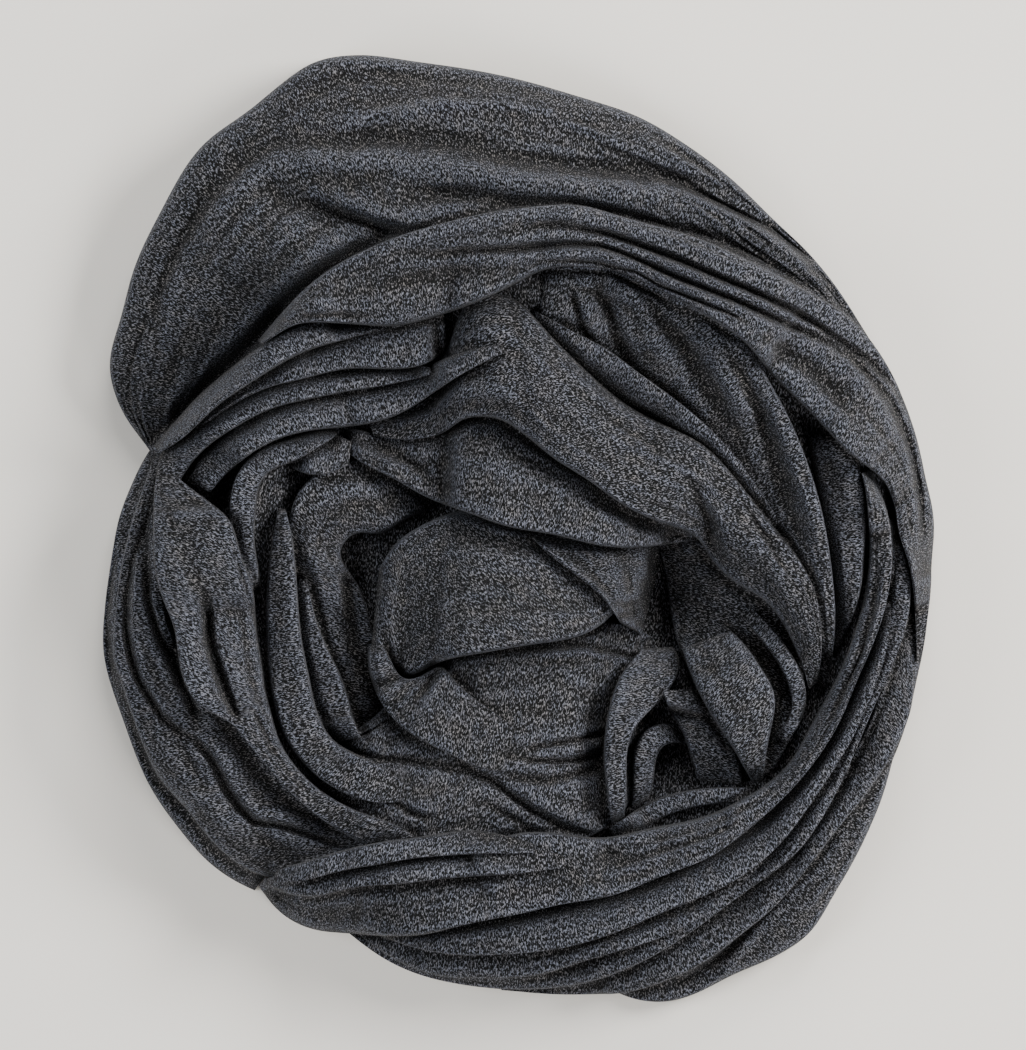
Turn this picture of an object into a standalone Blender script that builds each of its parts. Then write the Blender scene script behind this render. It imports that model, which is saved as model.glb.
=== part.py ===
"""A hijab of heather jersey, wound on itself and dropped in a round nest on a flat surface.

The scarf is one long cloth. Its hidden layers share one rounded solid with a flat underside.
Each stretch of cloth that shows is a closed wall of its own, laid over what was laid before it,
from the outer skirts to the flaps over the middle of the nest.

A stretch is a loft through the sections in its table. A section runs across the cloth, from its
outer end to its inner end as they lie in plan, and its rise is the height of the cloth over the
line between these two ends, where the ends rest on what lies below.
Lengths in the tables are millimetres. X is to the right, Y away, and Z up from the surface.
"""

from collections import namedtuple

import bmesh
import bpy
import numpy as np

# Driving dimensions, in metres
MILLIMETRE = 0.001
SCARF_WALL = 2.0 * MILLIMETRE
LAYER_GAP = 0.4 * MILLIMETRE
STATION_STEP = 14.0 * MILLIMETRE
ACROSS_STEP = 6.5 * MILLIMETRE
LEAST_ACROSS = 5
MOST_ACROSS = 13
LEAST_STATIONS = 5
STEEPEST_FACING = 0.5
REST_REACH = 2
NEIGHBOUR_WEIGHT = 0.25
CREASE_ONSET = 4.0
SMALLEST_LENGTH = 1e-12
PLACE_DIGITS = 5

# The plan grid on which the height of the pile is kept
GRID_CELL = 0.7 * MILLIMETRE
GRID_HALF_WIDTH = 0.175
GRID_HALF_LENGTH = 0.200
SAMPLE_STEP = 0.45 * MILLIMETRE
NEAR_REACH = 0.4 * MILLIMETRE

# The hidden layers
NEST_MIDDLE = (-8.0, -35.0)
BOWL_FLOOR = 16.0
EDGE_HEIGHT = 7.0
FOOT_SHARE = 0.985
EDGE_LAYERS = 3
LAYER_SWELL = 1.6
CORE_BEARINGS = 44
BOWL_RINGS = 3
WALL_RINGS = 3
FLANK_RINGS = 9
FLANK_ROUNDNESS = 2.2

COLLECTION_NAME = "hijab_scarf"
JERSEY_ROUGHNESS = 0.9

Edge = namedtuple("Edge", "x y rim_share rim_height bowl_share")
Section = namedtuple("Section", "outer_x outer_y inner_x inner_y rise")
CreasePoint = namedtuple("CreasePoint", "x y depth")
Crease = namedtuple("Crease", "width points")
Stretch = namedtuple("Stretch", "name tint peak outer_round inner_round sections creases")

# Edge of the hidden layers, to the left of the middle and on, clockwise: where the edge lies,
# how far out and how high the ring of the nest stands, and how far out the bowl's floor ends
CORE_EDGE = [
    Edge(-148, -35, 0.79, 46, 0.56),
    Edge(-138, 10, 0.78, 42, 0.54),
    Edge(-128, 60, 0.72, 34, 0.46),
    Edge(-136, 96, 0.64, 34, 0.40),
    Edge(-106, 142, 0.62, 38, 0.36),
    Edge(-58, 166, 0.66, 42, 0.32),
    Edge(0, 158, 0.70, 46, 0.30),
    Edge(56, 138, 0.76, 46, 0.30),
    Edge(104, 98, 0.84, 44, 0.36),
    Edge(136, 46, 0.88, 40, 0.46),
    Edge(145, -6, 0.87, 37, 0.52),
    Edge(143, -50, 0.88, 35, 0.58),
    Edge(124, -104, 0.86, 34, 0.58),
    Edge(92, -146, 0.78, 35, 0.52),
    Edge(40, -165, 0.76, 36, 0.48),
    Edge(-12, -164, 0.78, 38, 0.46),
    Edge(-66, -144, 0.78, 40, 0.48),
    Edge(-110, -118, 0.78, 44, 0.52),
    Edge(-138, -80, 0.79, 46, 0.55),
]


def stretch(name, tint, shape, sections, creases=()):
    """One stretch of cloth: shape is the place of its crest and how round its two sides are."""
    peak, outer_round, inner_round = shape
    rows = [Section(*row) for row in sections]
    lines = [Crease(width, [CreasePoint(*point) for point in points]) for width, points in creases]
    return Stretch(name, tint, peak, outer_round, inner_round, rows, lines)


# Crest place across the cloth, roundness of the outer side and of the inner side
ROLL = (0.5, 2.2, 2.2)
STEP_OUT = (0.32, 2.3, 1.3)
STEP_IN = (0.68, 1.3, 2.3)
SHEET = (0.5, 1.8, 1.8)
POUCH = (0.42, 2.4, 1.7)

# Tints of the jersey, as it looks in the light and in the folds
LIT = (0.095, 0.100, 0.112)
MID = (0.072, 0.076, 0.086)
DEEP = (0.050, 0.053, 0.060)

# Stretches inside the nest that lie lowest
NEST_BED = [
    stretch("nest_back", DEEP, SHEET, [
        (-68, -86, -50, -80, 1),
        (-76, -74, -52, -68, 3),
        (-82, -56, -53, -52, 4),
        (-85, -38, -56, -36, 5),
        (-87, -20, -60, -22, 6),
        (-88, -2, -68, -10, 8),
        (-84, 14, -62, -2, 9),
        (-70, 24, -52, -3, 9),
        (-54, 26, -45, 2, 8),
        (-38, 22, -36, 6, 4),
        (-28, 18, -28, 9, 1),
    ]),
    stretch("nest_right", DEEP, SHEET, [
        (50, 0, 84, -6, 1),
        (54, -12, 100, -18, 3),
        (57, -26, 106, -36, 4),
        (60, -40, 108, -52, 5),
        (64, -54, 107, -66, 5),
        (72, -70, 103, -80, 5),
        (82, -86, 98, -91, 3),
        (88, -95, 95, -97, 1),
    ]),
    stretch("nest_floor", MID, SHEET, [
        (-82, -93, -72, -82, 2),
        (-68, -104, -58, -74, 7),
        (-51, -115, -46, -62, 12),
        (-36, -120, -30, -46, 15),
        (-18, -119, -14, -38, 17),
        (0, -118, 2, -36, 17),
        (16, -119, 18, -34, 15),
        (30, -116, 34, -34, 12),
        (40, -108, 46, -38, 8),
        (47, -100, 54, -44, 2),
    ], creases=[
        (4.0, [(-26, -83, 0), (-20, -90, -5), (-10, -96, -7), (5, -107, -7), (16, -113, -6),
            (28, -117, 0)]),
        (3.5, [(-72, -82, -2), (-60, -87, -4), (-42, -88, -3), (-28, -91, -3), (-16, -96, 0)]),
        (4.0, [(-8, -84, 0), (4, -88, -4), (16, -90, -6), (28, -87, -6)]),
        (3.5, [(2, -83, 0), (12, -80, -4), (24, -78, -5)]),
        (4.0, [(-22, -74, 0), (-10, -80, 4), (6, -84, 4), (22, -84, 3)]),
    ]),
]

# Stretches down the outside of the nest, lowest first
OUTER_SKIRTS = [
    stretch("corner_end", MID, STEP_OUT, [
        (38, -178, 44, -166, 2),
        (58, -181, 58, -158, 6),
        (80, -171, 74, -148, 8),
        (100, -163, 86, -138, 9),
        (112, -155, 96, -127, 10),
        (121, -138, 105, -116, 10),
        (131, -119, 115, -103, 10),
        (139, -101, 124, -91, 9),
        (145, -82, 132, -76, 7),
        (151, -62, 139, -62, 4),
    ]),
    stretch("right_skirt", DEEP, STEP_OUT, [
        (154, -6, 140, -8, 3),
        (156, -20, 140, -20, 8),
        (156, -36, 140, -35, 9),
        (154.5, -50, 138, -48, 9),
        (150.5, -65, 134, -60, 8),
        (146, -80, 130, -72, 6),
        (140, -95, 126, -84, 3),
    ]),
    stretch("left_skirt", DEEP, STEP_OUT, [
        (-141, 29, -132, 31, 2),
        (-147, 18, -134, 20, 6),
        (-152.5, 5, -138, 8, 9),
        (-156.5, -13, -142, -11, 11),
        (-158.5, -33, -145, -31, 12),
        (-158.5, -48, -145, -48, 12),
        (-155, -64, -140, -62, 12),
        (-149, -82, -133, -76, 12),
        (-140.5, -100, -127, -90, 12),
        (-131, -114, -117, -102, 11),
        (-119, -127, -106, -114, 9),
        (-106, -135.5, -97, -124, 5),
        (-98, -138, -92, -130, 1),
    ]),
    stretch("outer_wrap", MID, POUCH, [
        (-141, 29, -134, 24, 2),
        (-153, 46, -118, 42, 14),
        (-157, 62, -102, 52, 22),
        (-151.5, 82, -92, 64, 27),
        (-146.5, 100, -84, 74, 29),
        (-137, 120, -76, 82, 30),
        (-120, 148, -64, 90, 30),
        (-97, 165, -50, 97, 28),
        (-72, 180, -34, 103, 25),
        (-40, 178.5, -12, 108, 23),
        (-5, 172, 10, 112, 20),
        (32, 160, 32, 110, 17),
        (65, 145, 54, 103, 15),
        (90, 126, 76, 95, 13),
        (112, 104, 98, 85, 11),
        (130, 79, 117, 72, 9),
        (144, 57, 131, 54, 7),
        (152, 33, 141, 32, 5),
        (155.5, 12, 147, 12, 2),
    ], creases=[
        (7.0, [(-102, 136, 0), (-82, 138, 4), (-55, 140, 5), (-30, 136, 5), (0, 130, 6),
            (40, 129, 6), (66, 127, 5), (90, 117, 3), (108, 104, 0)]),
        (7.0, [(-80, 145, 0), (-58, 148, -5), (-30, 147, -4), (0, 140, -4), (30, 136, -7),
            (60, 132, -7), (80, 124, -5), (98, 113, 0)]),
        (7.0, [(-84, 150, 0), (-62, 154, 4), (-34, 159, 5), (-5, 160, 5), (22, 155, 4),
            (50, 145, 4), (74, 134, 0)]),
        (7.0, [(-96, 134, 0), (-86, 127, -6), (-70, 121, -9), (-54, 115, -10), (-42, 112, -8),
            (-20, 121, -6), (10, 123, -6), (45, 119, -6), (70, 112, -5), (95, 100, -3),
            (112, 90, 0)]),
    ]),
    stretch("hem_band", MID, STEP_OUT, [
        (-10, -176.5, 0, -168, 1),
        (20, -178, 24, -166, 5),
        (42, -177, 40, -160, 7),
        (60, -170, 54, -152, 8),
        (77, -161.5, 68, -143, 8),
        (90, -150.5, 82, -136, 8),
        (102, -138, 94, -125, 8),
        (112, -127, 105, -114, 8),
        (122, -114, 115, -102, 8),
        (132, -101, 124, -89, 8),
        (141, -87, 132, -74, 8),
        (148, -72, 138, -60, 6),
        (150.5, -58, 141, -44, 3),
        (149, -42, 144, -36, 1),
    ]),
    stretch("lower_band", MID, STEP_OUT, [
        (-66, -157, -62, -152, 0.5),
        (-50, -165.5, -46, -156, 5),
        (-28, -173, -25, -160, 8),
        (-2, -176.5, -3, -161, 9),
        (22, -174.5, 18, -157, 9),
        (40, -168, 34, -150, 9),
        (60, -157, 52, -140, 8),
        (80, -143, 70, -127, 8),
        (100, -123, 91, -111, 8),
        (120, -101, 112, -91, 8),
        (133, -74, 125, -69, 8),
        (141, -55, 133, -50, 8),
        (147, -36, 138, -33, 8),
        (149, -20, 140, -18, 7),
        (147, -6, 141, -6, 4),
        (143, 6, 140, 6, 1),
    ]),
    stretch("middle_band", MID, STEP_OUT, [
        (-65, -156, -61, -151, 0.5),
        (-45, -166, -42, -153, 5),
        (-28, -170.5, -26, -154, 8),
        (-8, -172, -8, -153, 8),
        (8, -170, 6, -151, 8),
        (22, -165.5, 18, -148, 8),
        (40, -157.5, 34, -142, 7),
        (56, -150.5, 50, -136, 6),
        (72, -142, 66, -129, 5),
        (86, -131, 80, -121, 3),
        (96, -122, 92, -114, 0.5),
    ]),
    stretch("upper_band", MID, STEP_OUT, [
        (-64, -155.5, -60, -150, 0.5),
        (-48, -157.5, -44, -148, 4),
        (-28, -161, -26, -147, 6),
        (0, -162, -2, -143, 7),
        (18, -159.5, 14, -139, 7),
        (34, -154.5, 28, -134, 7),
        (50, -148, 44, -129, 7),
        (64, -143, 58, -122, 7),
        (80, -135, 73, -114, 7),
        (94, -124.5, 88, -109, 7),
        (106, -111, 100, -97, 7),
        (117, -96, 111, -85, 7),
        (126, -81, 119, -72, 7),
        (134, -63, 127, -57, 6),
        (139, -48, 132, -43, 5),
        (141, -36, 133, -32, 2),
        (141, -26, 137, -24, 0.5),
    ]),
    stretch("left_wrap", MID, STEP_OUT, [
        (-138, 30, -128, 30, 3),
        (-141, 20, -129, 20, 6),
        (-146, 8, -130, 8, 8),
        (-151.5, -13, -127, -14, 11),
        (-154.5, -33, -122, -34, 12),
        (-155, -48, -116, -50, 13),
        (-150, -62, -108, -64, 14),
        (-144, -78, -100, -76, 14),
        (-138, -95, -92, -88, 14),
        (-126, -108, -82, -100, 12),
        (-116, -120, -70, -110, 10),
        (-105, -129, -60, -116, 7),
        (-92, -134, -50, -120, 3),
        (-80, -136, -42, -122, 1),
    ], creases=[
        (3.5, [(-142, 10, 0), (-146, -8, -5), (-148.5, -30, -7), (-148, -46, -7),
            (-143, -59, -6), (-135, -71, -4), (-128, -78, 0)]),
        (4.0, [(-124, -76, 0), (-118, -88, -6), (-110, -99, -8), (-104, -109, -8),
            (-92, -113, -7), (-70, -119, -5)]),
    ]),
]

# Folds and flaps inside the nest, lowest first
NEST_FOLDS = [
    stretch("right_inner_fold", DEEP, ROLL, [
        (124, 40, 108, 36, 2),
        (130, 25, 112, 22, 6),
        (132, 10, 115, 8, 9),
        (131.5, -6, 117.5, -6, 10),
        (131, -20, 119.5, -18, 9),
        (128, -32, 120.5, -28, 6),
        (123, -42, 120, -38, 3),
        (120, -50, 118.5, -47, 0.5),
    ]),
    stretch("nest_rib_inner", MID, ROLL, [
        (-83, -17, -81.5, -17, 0.5),
        (-85, -30, -78.5, -30, 6),
        (-84, -42, -74.5, -42, 9),
        (-81, -56, -69.5, -54, 10),
        (-78.5, -68, -65, -66, 10),
        (-74, -78, -61, -76, 7),
        (-68, -84, -58, -81, 2),
    ]),
    stretch("nest_rib_outer", LIT, ROLL, [
        (-91, 10, -89.5, 10, 0.5),
        (-92, 0, -87, 0, 6),
        (-94, -12, -85.5, -12, 10),
        (-95, -28, -84.5, -28, 12),
        (-95, -45, -83, -44, 13),
        (-93, -60, -80, -58, 13),
        (-90, -72, -77.5, -68, 12),
        (-84, -83, -72, -79, 10),
        (-75, -93, -65, -84, 8),
        (-63, -100, -56, -88, 5),
        (-51, -103, -47, -93, 2),
        (-42, -103, -41, -99, 0.5),
    ]),
    stretch("nest_pillow", LIT, (0.5, 2.4, 2.6), [
        (-57, -27, -58.5, -42, 1),
        (-53.5, -15, -57.5, -54, 9),
        (-47, -6, -52, -60, 15),
        (-38, 1, -43, -58, 20),
        (-26, 6, -30, -50, 22),
        (-10, 6, -10, -46.5, 23),
        (6, 4, 6, -45, 23),
        (20, 0, 20, -42, 20),
        (34, -4, 32, -36, 14),
        (44, -8, 41, -27, 7),
        (50, -12, 46, -20, 1),
    ]),
    stretch("pillow_curl", LIT, ROLL, [
        (-58, -34, -54, -34, 0.5),
        (-58.5, -44, -50, -43, 4),
        (-57, -55, -44, -52, 6),
        (-52, -65, -37, -57, 7),
        (-44, -73, -29, -59, 6),
        (-34, -79, -20, -62, 5),
        (-24, -84, -11, -67, 3),
        (-15, -88, -6, -76, 1),
    ]),
    stretch("pillow_side", LIT, SHEET, [
        (66, -4, 8, 0, 2),
        (60, -11, 16, -10, 6),
        (54, -18, 24, -18, 7),
        (48, -25, 31, -26, 6),
        (43, -31, 35, -32, 3),
        (39, -36, 37, -36, 0.5),
    ]),
    stretch("hollow_fold", MID, ROLL, [
        (42, -110, 49, -105, 1),
        (43.5, -98, 52, -97, 6),
        (43.5, -86, 53, -87, 8),
        (47, -77, 56, -82, 8),
        (57, -74, 62, -82, 5),
        (66, -76, 68, -82, 1),
    ]),
    stretch("upright_fold", LIT, ROLL, [
        (48, -38, 56, -36, 0.5),
        (40, -46, 61, -44, 5),
        (37, -56, 59, -57, 10),
        (35, -64, 52, -66, 12),
        (33.5, -75, 45, -74, 13),
        (32.5, -88, 41.5, -86, 13),
        (33, -100, 41, -99, 10),
        (34, -109, 40, -108, 6),
        (36, -115, 40, -113, 1),
    ]),
    stretch("corner_lining", MID, SHEET, [
        (54, -60, 68, -58, 1),
        (56, -68, 76, -72, 5),
        (62, -78, 82, -84, 7),
        (66, -90, 86, -93, 6),
        (70, -99, 84, -100, 2),
    ]),
    stretch("right_rib", MID, ROLL, [
        (86, -28, 84, -32, 0.5),
        (96, -38, 92, -42, 4),
        (104, -48, 99, -52, 6),
        (109, -58, 103, -61, 6),
        (110, -68, 104, -69, 5),
        (106, -77, 101, -75, 3),
        (99, -84, 96, -81, 1),
    ]),
    stretch("folded_corner", LIT, SHEET, [
        (61, -44, 79, -37, 2),
        (64, -52, 87, -48, 9),
        (67, -61, 97, -60, 12),
        (72, -72, 96.5, -74, 12),
        (80, -86, 95, -86, 9),
        (88, -96, 93.5, -96, 4),
        (91, -99.5, 93, -99.5, 0.5),
    ]),
    stretch("rim_fold", MID, ROLL, [
        (34, -121, 32, -116, 1),
        (44, -116, 40, -110, 4),
        (56, -109.5, 52, -103, 6),
        (68, -106, 66, -99.5, 6),
        (80, -104.5, 80, -98.5, 5),
        (92, -102, 92, -98.5, 1),
    ]),
    stretch("under_flap", LIT, (0.45, 1.8, 2.4), [
        (-69, 37, -68, 31, 1),
        (-60, 37, -61, 25, 6),
        (-48, 34, -49, 19.5, 9),
        (-34, 38, -36, 12, 12),
        (-16, 46, -18, 6, 15),
        (2, 42, -2, 0.5, 16),
        (22, 32, 16, -4, 16),
        (40, 22, 34, -6.5, 14),
        (56, 12, 50, -7, 11),
        (68, 4, 62, -5.5, 6),
        (76, -2, 70, -5, 1),
    ]),
    stretch("right_sweep", LIT, (0.22, 2.4, 1.5), [
        (8, 100, 4, 70, 3),
        (22, 101, 18, 62, 7),
        (38, 98, 28, 56, 10),
        (58, 91, 40, 46, 12),
        (77, 80, 54, 36, 13),
        (92, 62, 66, 24, 14),
        (102, 44, 76, 12, 14),
        (110, 25, 84, 0, 14),
        (116, 4, 92, -10, 14),
        (119.5, -18, 99, -22, 13),
        (120, -38, 105, -38, 10),
        (118, -54, 111, -51, 4),
        (116, -64, 113, -61, 1),
    ], creases=[
        (6.0, [(24, 95, 0), (28, 88, -5), (33, 77, -7), (39, 67, -5), (44, 60, 0)]),
        (6.0, [(48, 92, 0), (58, 80, -5), (65, 67, -7), (70, 54, -6), (78, 40, -3), (86, 28, 0)]),
        (5.0, [(74, 76, 0), (84, 60, 4), (94, 46, 5), (104, 28, 5), (112, 4, 4), (117, -20, 0)]),
        (6.0, [(76, 66, 0), (86, 48, -6), (92, 32, -8), (98, 16, -7), (106, -2, -4),
            (110, -12, 0)]),
    ]),
    stretch("flap_edge_roll", LIT, (0.35, 2.2, 1.4), [
        (2, 84, 0, 78, 0.5),
        (18, 76, 14, 66, 3),
        (31, 69, 26, 56, 5),
        (44, 59, 38, 45, 6),
        (58, 49.5, 52, 36, 6),
        (72, 38.5, 66, 26, 6),
        (84, 26, 77, 15, 5),
        (93, 13, 86, 4, 3),
        (101, 0, 95, -6, 0.5),
    ]),
    stretch("middle_flap", LIT, (0.55, 1.5, 2.3), [
        (-62, 44, -58, 36, 0.5),
        (-44, 49, -40, 33, 4),
        (-34, 56, -29, 35, 7),
        (-26, 72, -20, 42, 10),
        (-20, 86, -8, 41.5, 12),
        (-4, 88, 2, 35, 14),
        (12, 73, 12, 28, 14),
        (28, 58, 24, 20, 14),
        (43, 46, 38, 10, 13),
        (56, 39, 52, 3, 12),
        (71, 31, 67, -3.5, 12),
        (84, 17, 74, -14, 12),
        (94, 4, 82, -21, 12),
        (104, -8, 93, -27, 11),
        (112, -22, 101, -37, 8),
        (115, -36, 106, -48, 5),
        (115, -50, 109, -56, 2),
        (113, -62, 110.5, -63, 0.5),
    ], creases=[
        (5.0, [(-32, 38, 0), (-28, 47, 4), (-20, 52, 5), (-8, 52, 3), (4, 50, 0)]),
        (6.0, [(62, 22, 0), (68, 14, -4), (72, 4, -5), (76, -8, -3), (79, -16, 0)]),
    ]),
    stretch("rope", LIT, (0.48, 2.3, 2.3), [
        (-106, -135, -104, -133, 0.5),
        (-94, -146, -88, -136, 6),
        (-80, -153, -74, -134, 10),
        (-62, -154.5, -60, -129, 12),
        (-40, -154, -40, -127, 12),
        (-20, -151, -20, -125, 12),
        (0, -147.5, -2, -124, 12),
        (20, -141.5, 16, -123, 11),
        (40, -138, 36, -121, 11),
        (60, -130.5, 56, -112, 12),
        (80, -119.5, 76, -107.5, 12),
        (95, -108, 90, -100.5, 12),
        (110, -92, 103, -88.5, 12),
        (120, -76, 112, -74, 12),
        (128, -58, 120, -58, 12),
        (135, -42, 126, -43, 12),
        (140, -25, 131, -27, 11),
        (141.5, -10, 132.5, -10, 10),
        (140, 5, 132, 5, 8),
        (136, 17, 131, 16, 4),
        (132, 25, 129, 23, 1),
    ]),
]

# Folds that lie highest on the ring, from inside the nest outwards
RING_FOLDS = [
    stretch("nest_drape", MID, STEP_IN, [
        (-92, 27, -88, 24, 1),
        (-84, 33, -83, 20.5, 5),
        (-73, 37, -73, 19.5, 6),
        (-62, 35, -63, 20.5, 5),
        (-54, 29, -56, 23, 1),
    ]),
    stretch("turned_fold", MID, ROLL, [
        (-66, 39.5, -66, 36, 1),
        (-78, 37.5, -76, 31, 5),
        (-88, 33, -86, 25, 7),
        (-100, 29, -95, 22, 8),
        (-108, 20, -99, 16, 10),
        (-110, 8, -100, 8, 10),
        (-109, -4, -101, -4, 10),
        (-106, -16, -99, -16, 7),
        (-103, -28, -98, -27, 2),
    ]),
    stretch("inner_arc", LIT, STEP_IN, [
        (-127, 14, -119, 12, 2),
        (-121, 28, -112, 20, 8),
        (-110, 38, -101, 29, 10),
        (-97, 46, -91, 34.5, 11),
        (-82, 51, -77, 38, 11),
        (-66, 54, -62, 39.5, 11),
        (-50, 57, -48, 42.5, 11),
        (-37, 61, -36, 48.5, 9),
        (-24, 66, -23, 57, 6),
        (-12, 69, -11, 64, 3),
        (-3, 69.5, -2.5, 67.5, 0.5),
    ]),
    stretch("middle_arc", LIT, STEP_IN, [
        (-138, 12, -130, 16, 2),
        (-137, 26, -125, 25, 7),
        (-128, 39, -117, 33, 9),
        (-115, 47, -107, 39, 9),
        (-102, 53, -96, 45, 9),
        (-88, 59, -85, 48.5, 8),
        (-72, 62, -70, 50.5, 7),
        (-56, 63, -54, 53, 6),
        (-42, 62, -40, 55, 3),
        (-33, 61, -32, 58, 0.5),
    ]),
    stretch("left_flap", LIT, (0.45, 2.3, 2.1), [
        (-137, 22, -134, 23, 1),
        (-138.5, 12, -122, 13, 7),
        (-139.5, 0, -109, 3, 10),
        (-138.8, -10, -106.5, -10, 12),
        (-137, -22, -102, -20, 13),
        (-133, -33, -100, -30, 14),
        (-128.5, -42, -98.5, -41, 14),
        (-127.5, -56, -97, -52, 14),
        (-121, -68.5, -96.5, -61, 12),
        (-108, -73, -95, -68, 11),
        (-103.5, -80, -92.5, -78, 10),
        (-95, -91, -87, -87, 10),
        (-84, -103.5, -76, -98, 9),
        (-69, -115, -62, -106.5, 8),
        (-52, -122, -46, -113, 5),
        (-40, -125, -36, -119, 1),
    ], creases=[
        (4.0, [(-119, -22, 0), (-119, -34, -7), (-118, -45, -9), (-114, -57, -9),
            (-110, -68, -8), (-108, -76, 0)]),
    ]),
    stretch("broad_arc", MID, STEP_IN, [
        (-128, 39, -124, 36, 1),
        (-112, 52, -108, 47, 5),
        (-98, 62, -94, 54, 7),
        (-84, 71, -80, 57, 9),
        (-66, 79, -62, 60, 10),
        (-48, 83, -45, 60.5, 10),
        (-34, 86, -31, 62, 8),
        (-25, 88, -23, 70, 4),
        (-17, 90, -16, 80, 0.5),
    ]),
    stretch("outer_arc", LIT, ROLL, [
        (-141, 29.5, -139, 27.5, 0.5),
        (-131, 40.5, -126, 35, 6),
        (-120, 52, -114, 46, 7),
        (-108, 62, -102, 54, 8),
        (-96, 71, -90, 62, 8),
        (-84, 78, -79, 68, 8),
        (-72, 80, -68, 71.5, 6),
        (-60, 80, -57, 74, 1),
    ]),
    stretch("top_wrap", MID, (0.45, 2.2, 2.2), [
        (-101, 70, -99, 69, 0.5),
        (-88, 84, -84, 78, 5),
        (-70, 100.5, -66, 77.5, 9),
        (-48, 110.5, -46, 76.5, 12),
        (-24, 116, -26, 82, 13),
        (0, 121, -6, 89.5, 13),
        (20, 122.5, 12, 98.5, 12),
        (40, 118, 36, 97.5, 11),
        (58, 113, 54, 89.5, 12),
        (78, 106, 70, 81, 13),
        (96, 98, 84, 72, 14),
        (113, 89, 95, 58, 15),
        (127, 79, 107, 46, 15),
        (138, 65, 118, 36, 15),
        (146, 50, 129, 26, 14),
        (152, 34, 138, 18, 12),
        (155, 18, 143, 8, 10),
        (158, 2, 145, -3, 9),
        (157.5, -10, 147, -12, 6),
        (156, -20, 150, -20, 1),
    ], creases=[
        (3.5, [(4, 115.5, 0), (28, 113, -3), (50, 106.5, -6), (67, 101, -7), (84, 94, -7),
            (101, 86, -7), (113, 80, -6), (125, 72, -6), (136, 62, -5), (146, 48, -4),
            (152, 26, 0)]),
        (3.5, [(-45, 104, 0), (-20, 105, -3), (0, 106.5, -6), (20, 107, -7), (40, 102.5, -7),
            (60, 95, -7), (74, 89.5, -6), (90, 84, -5), (104, 79, 0)]),
        (3.0, [(14, 101, 0), (30, 100.5, -4), (45, 97, -4), (60, 89.5, 0)]),
        (3.5, [(-98, 73, 0), (-88, 80, 3), (-76, 84.5, 4), (-64, 85, 0)]),
    ]),
    stretch("thin_band_outer", MID, STEP_OUT, [
        (-104, -134.5, -103, -133.5, 0.5),
        (-92, -138, -90, -131, 5),
        (-78, -139.5, -77, -129, 6),
        (-62, -135.5, -62, -125.5, 7),
        (-45, -134.5, -45, -122, 7),
        (-30, -132.5, -30, -120, 7),
        (-12, -131, -12, -118.5, 7),
        (4, -131, 4, -120, 5),
        (18, -129, 18, -121, 3),
        (32, -126, 32, -123.5, 0.5),
    ]),
    stretch("thin_band_inner", LIT, ROLL, [
        (-96, -134, -95, -131, 0.5),
        (-84, -134.5, -82, -126.5, 5),
        (-68, -130.5, -66, -121.5, 7),
        (-52, -127.5, -50, -118.5, 7),
        (-38, -124.5, -37, -116.5, 7),
        (-24, -123.5, -22, -113, 8),
        (-8, -122.5, -6, -111, 8),
        (10, -122, 10, -112, 7),
        (24, -121.5, 25, -114, 5),
        (36, -120, 36.5, -116, 2),
        (44, -118, 44, -116.5, 0.5),
    ]),
]

STRETCHES = NEST_BED + OUTER_SKIRTS + NEST_FOLDS + RING_FOLDS


def smooth_columns(rows, knots, places):
    """Each column of a table, read at any place on a smooth curve through its rows."""
    rows = np.asarray(rows, dtype=float)
    slopes = np.gradient(rows, knots, axis=0)
    at = np.clip(np.searchsorted(knots, places, side="right") - 1, 0, len(knots) - 2)
    span = (knots[at + 1] - knots[at])[:, None]
    t = ((places - knots[at]) / (knots[at + 1] - knots[at]))[:, None]
    start = rows[at] * (1 + 2 * t) * (1 - t) ** 2 + slopes[at] * span * t * (1 - t) ** 2
    end = rows[at + 1] * t ** 2 * (3 - 2 * t) - slopes[at + 1] * span * t ** 2 * (1 - t)
    return start + end


def blurred(values, passes):
    """Values along an axis, evened out with their neighbours, with the two ends kept in place."""
    for _ in range(passes):
        padded = np.concatenate([values[:1], values, values[-1:]])
        beside = NEIGHBOUR_WEIGHT * (padded[:-2] + padded[2:])
        values = beside + (1 - 2 * NEIGHBOUR_WEIGHT) * padded[1:-1]
    return values


class Pile:
    """The height of all the cloth laid so far, kept in the cells of a plan grid."""

    def __init__(self):
        columns = int(round(2 * GRID_HALF_WIDTH / GRID_CELL))
        rows = int(round(2 * GRID_HALF_LENGTH / GRID_CELL))
        self.top = np.zeros((rows, columns))

    def cells(self, x, y):
        row = np.floor((y + GRID_HALF_LENGTH) / GRID_CELL).astype(int)
        column = np.floor((x + GRID_HALF_WIDTH) / GRID_CELL).astype(int)
        return row, column

    def height(self, x, y):
        return self.top[self.cells(x, y)]

    def near_height(self, x, y):
        """The greatest height in the cells that lie within a short reach of a point."""
        highest = self.height(x, y)
        for along in (-NEAR_REACH, NEAR_REACH):
            for away in (-NEAR_REACH, NEAR_REACH):
                highest = np.maximum(highest, self.height(x + along, y + away))
        return highest

    def add(self, points):
        """Lay a surface of points on the pile."""
        for x, y, low, high in facet_samples(points):
            np.maximum.at(self.top, self.cells(x, y), high)


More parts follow.
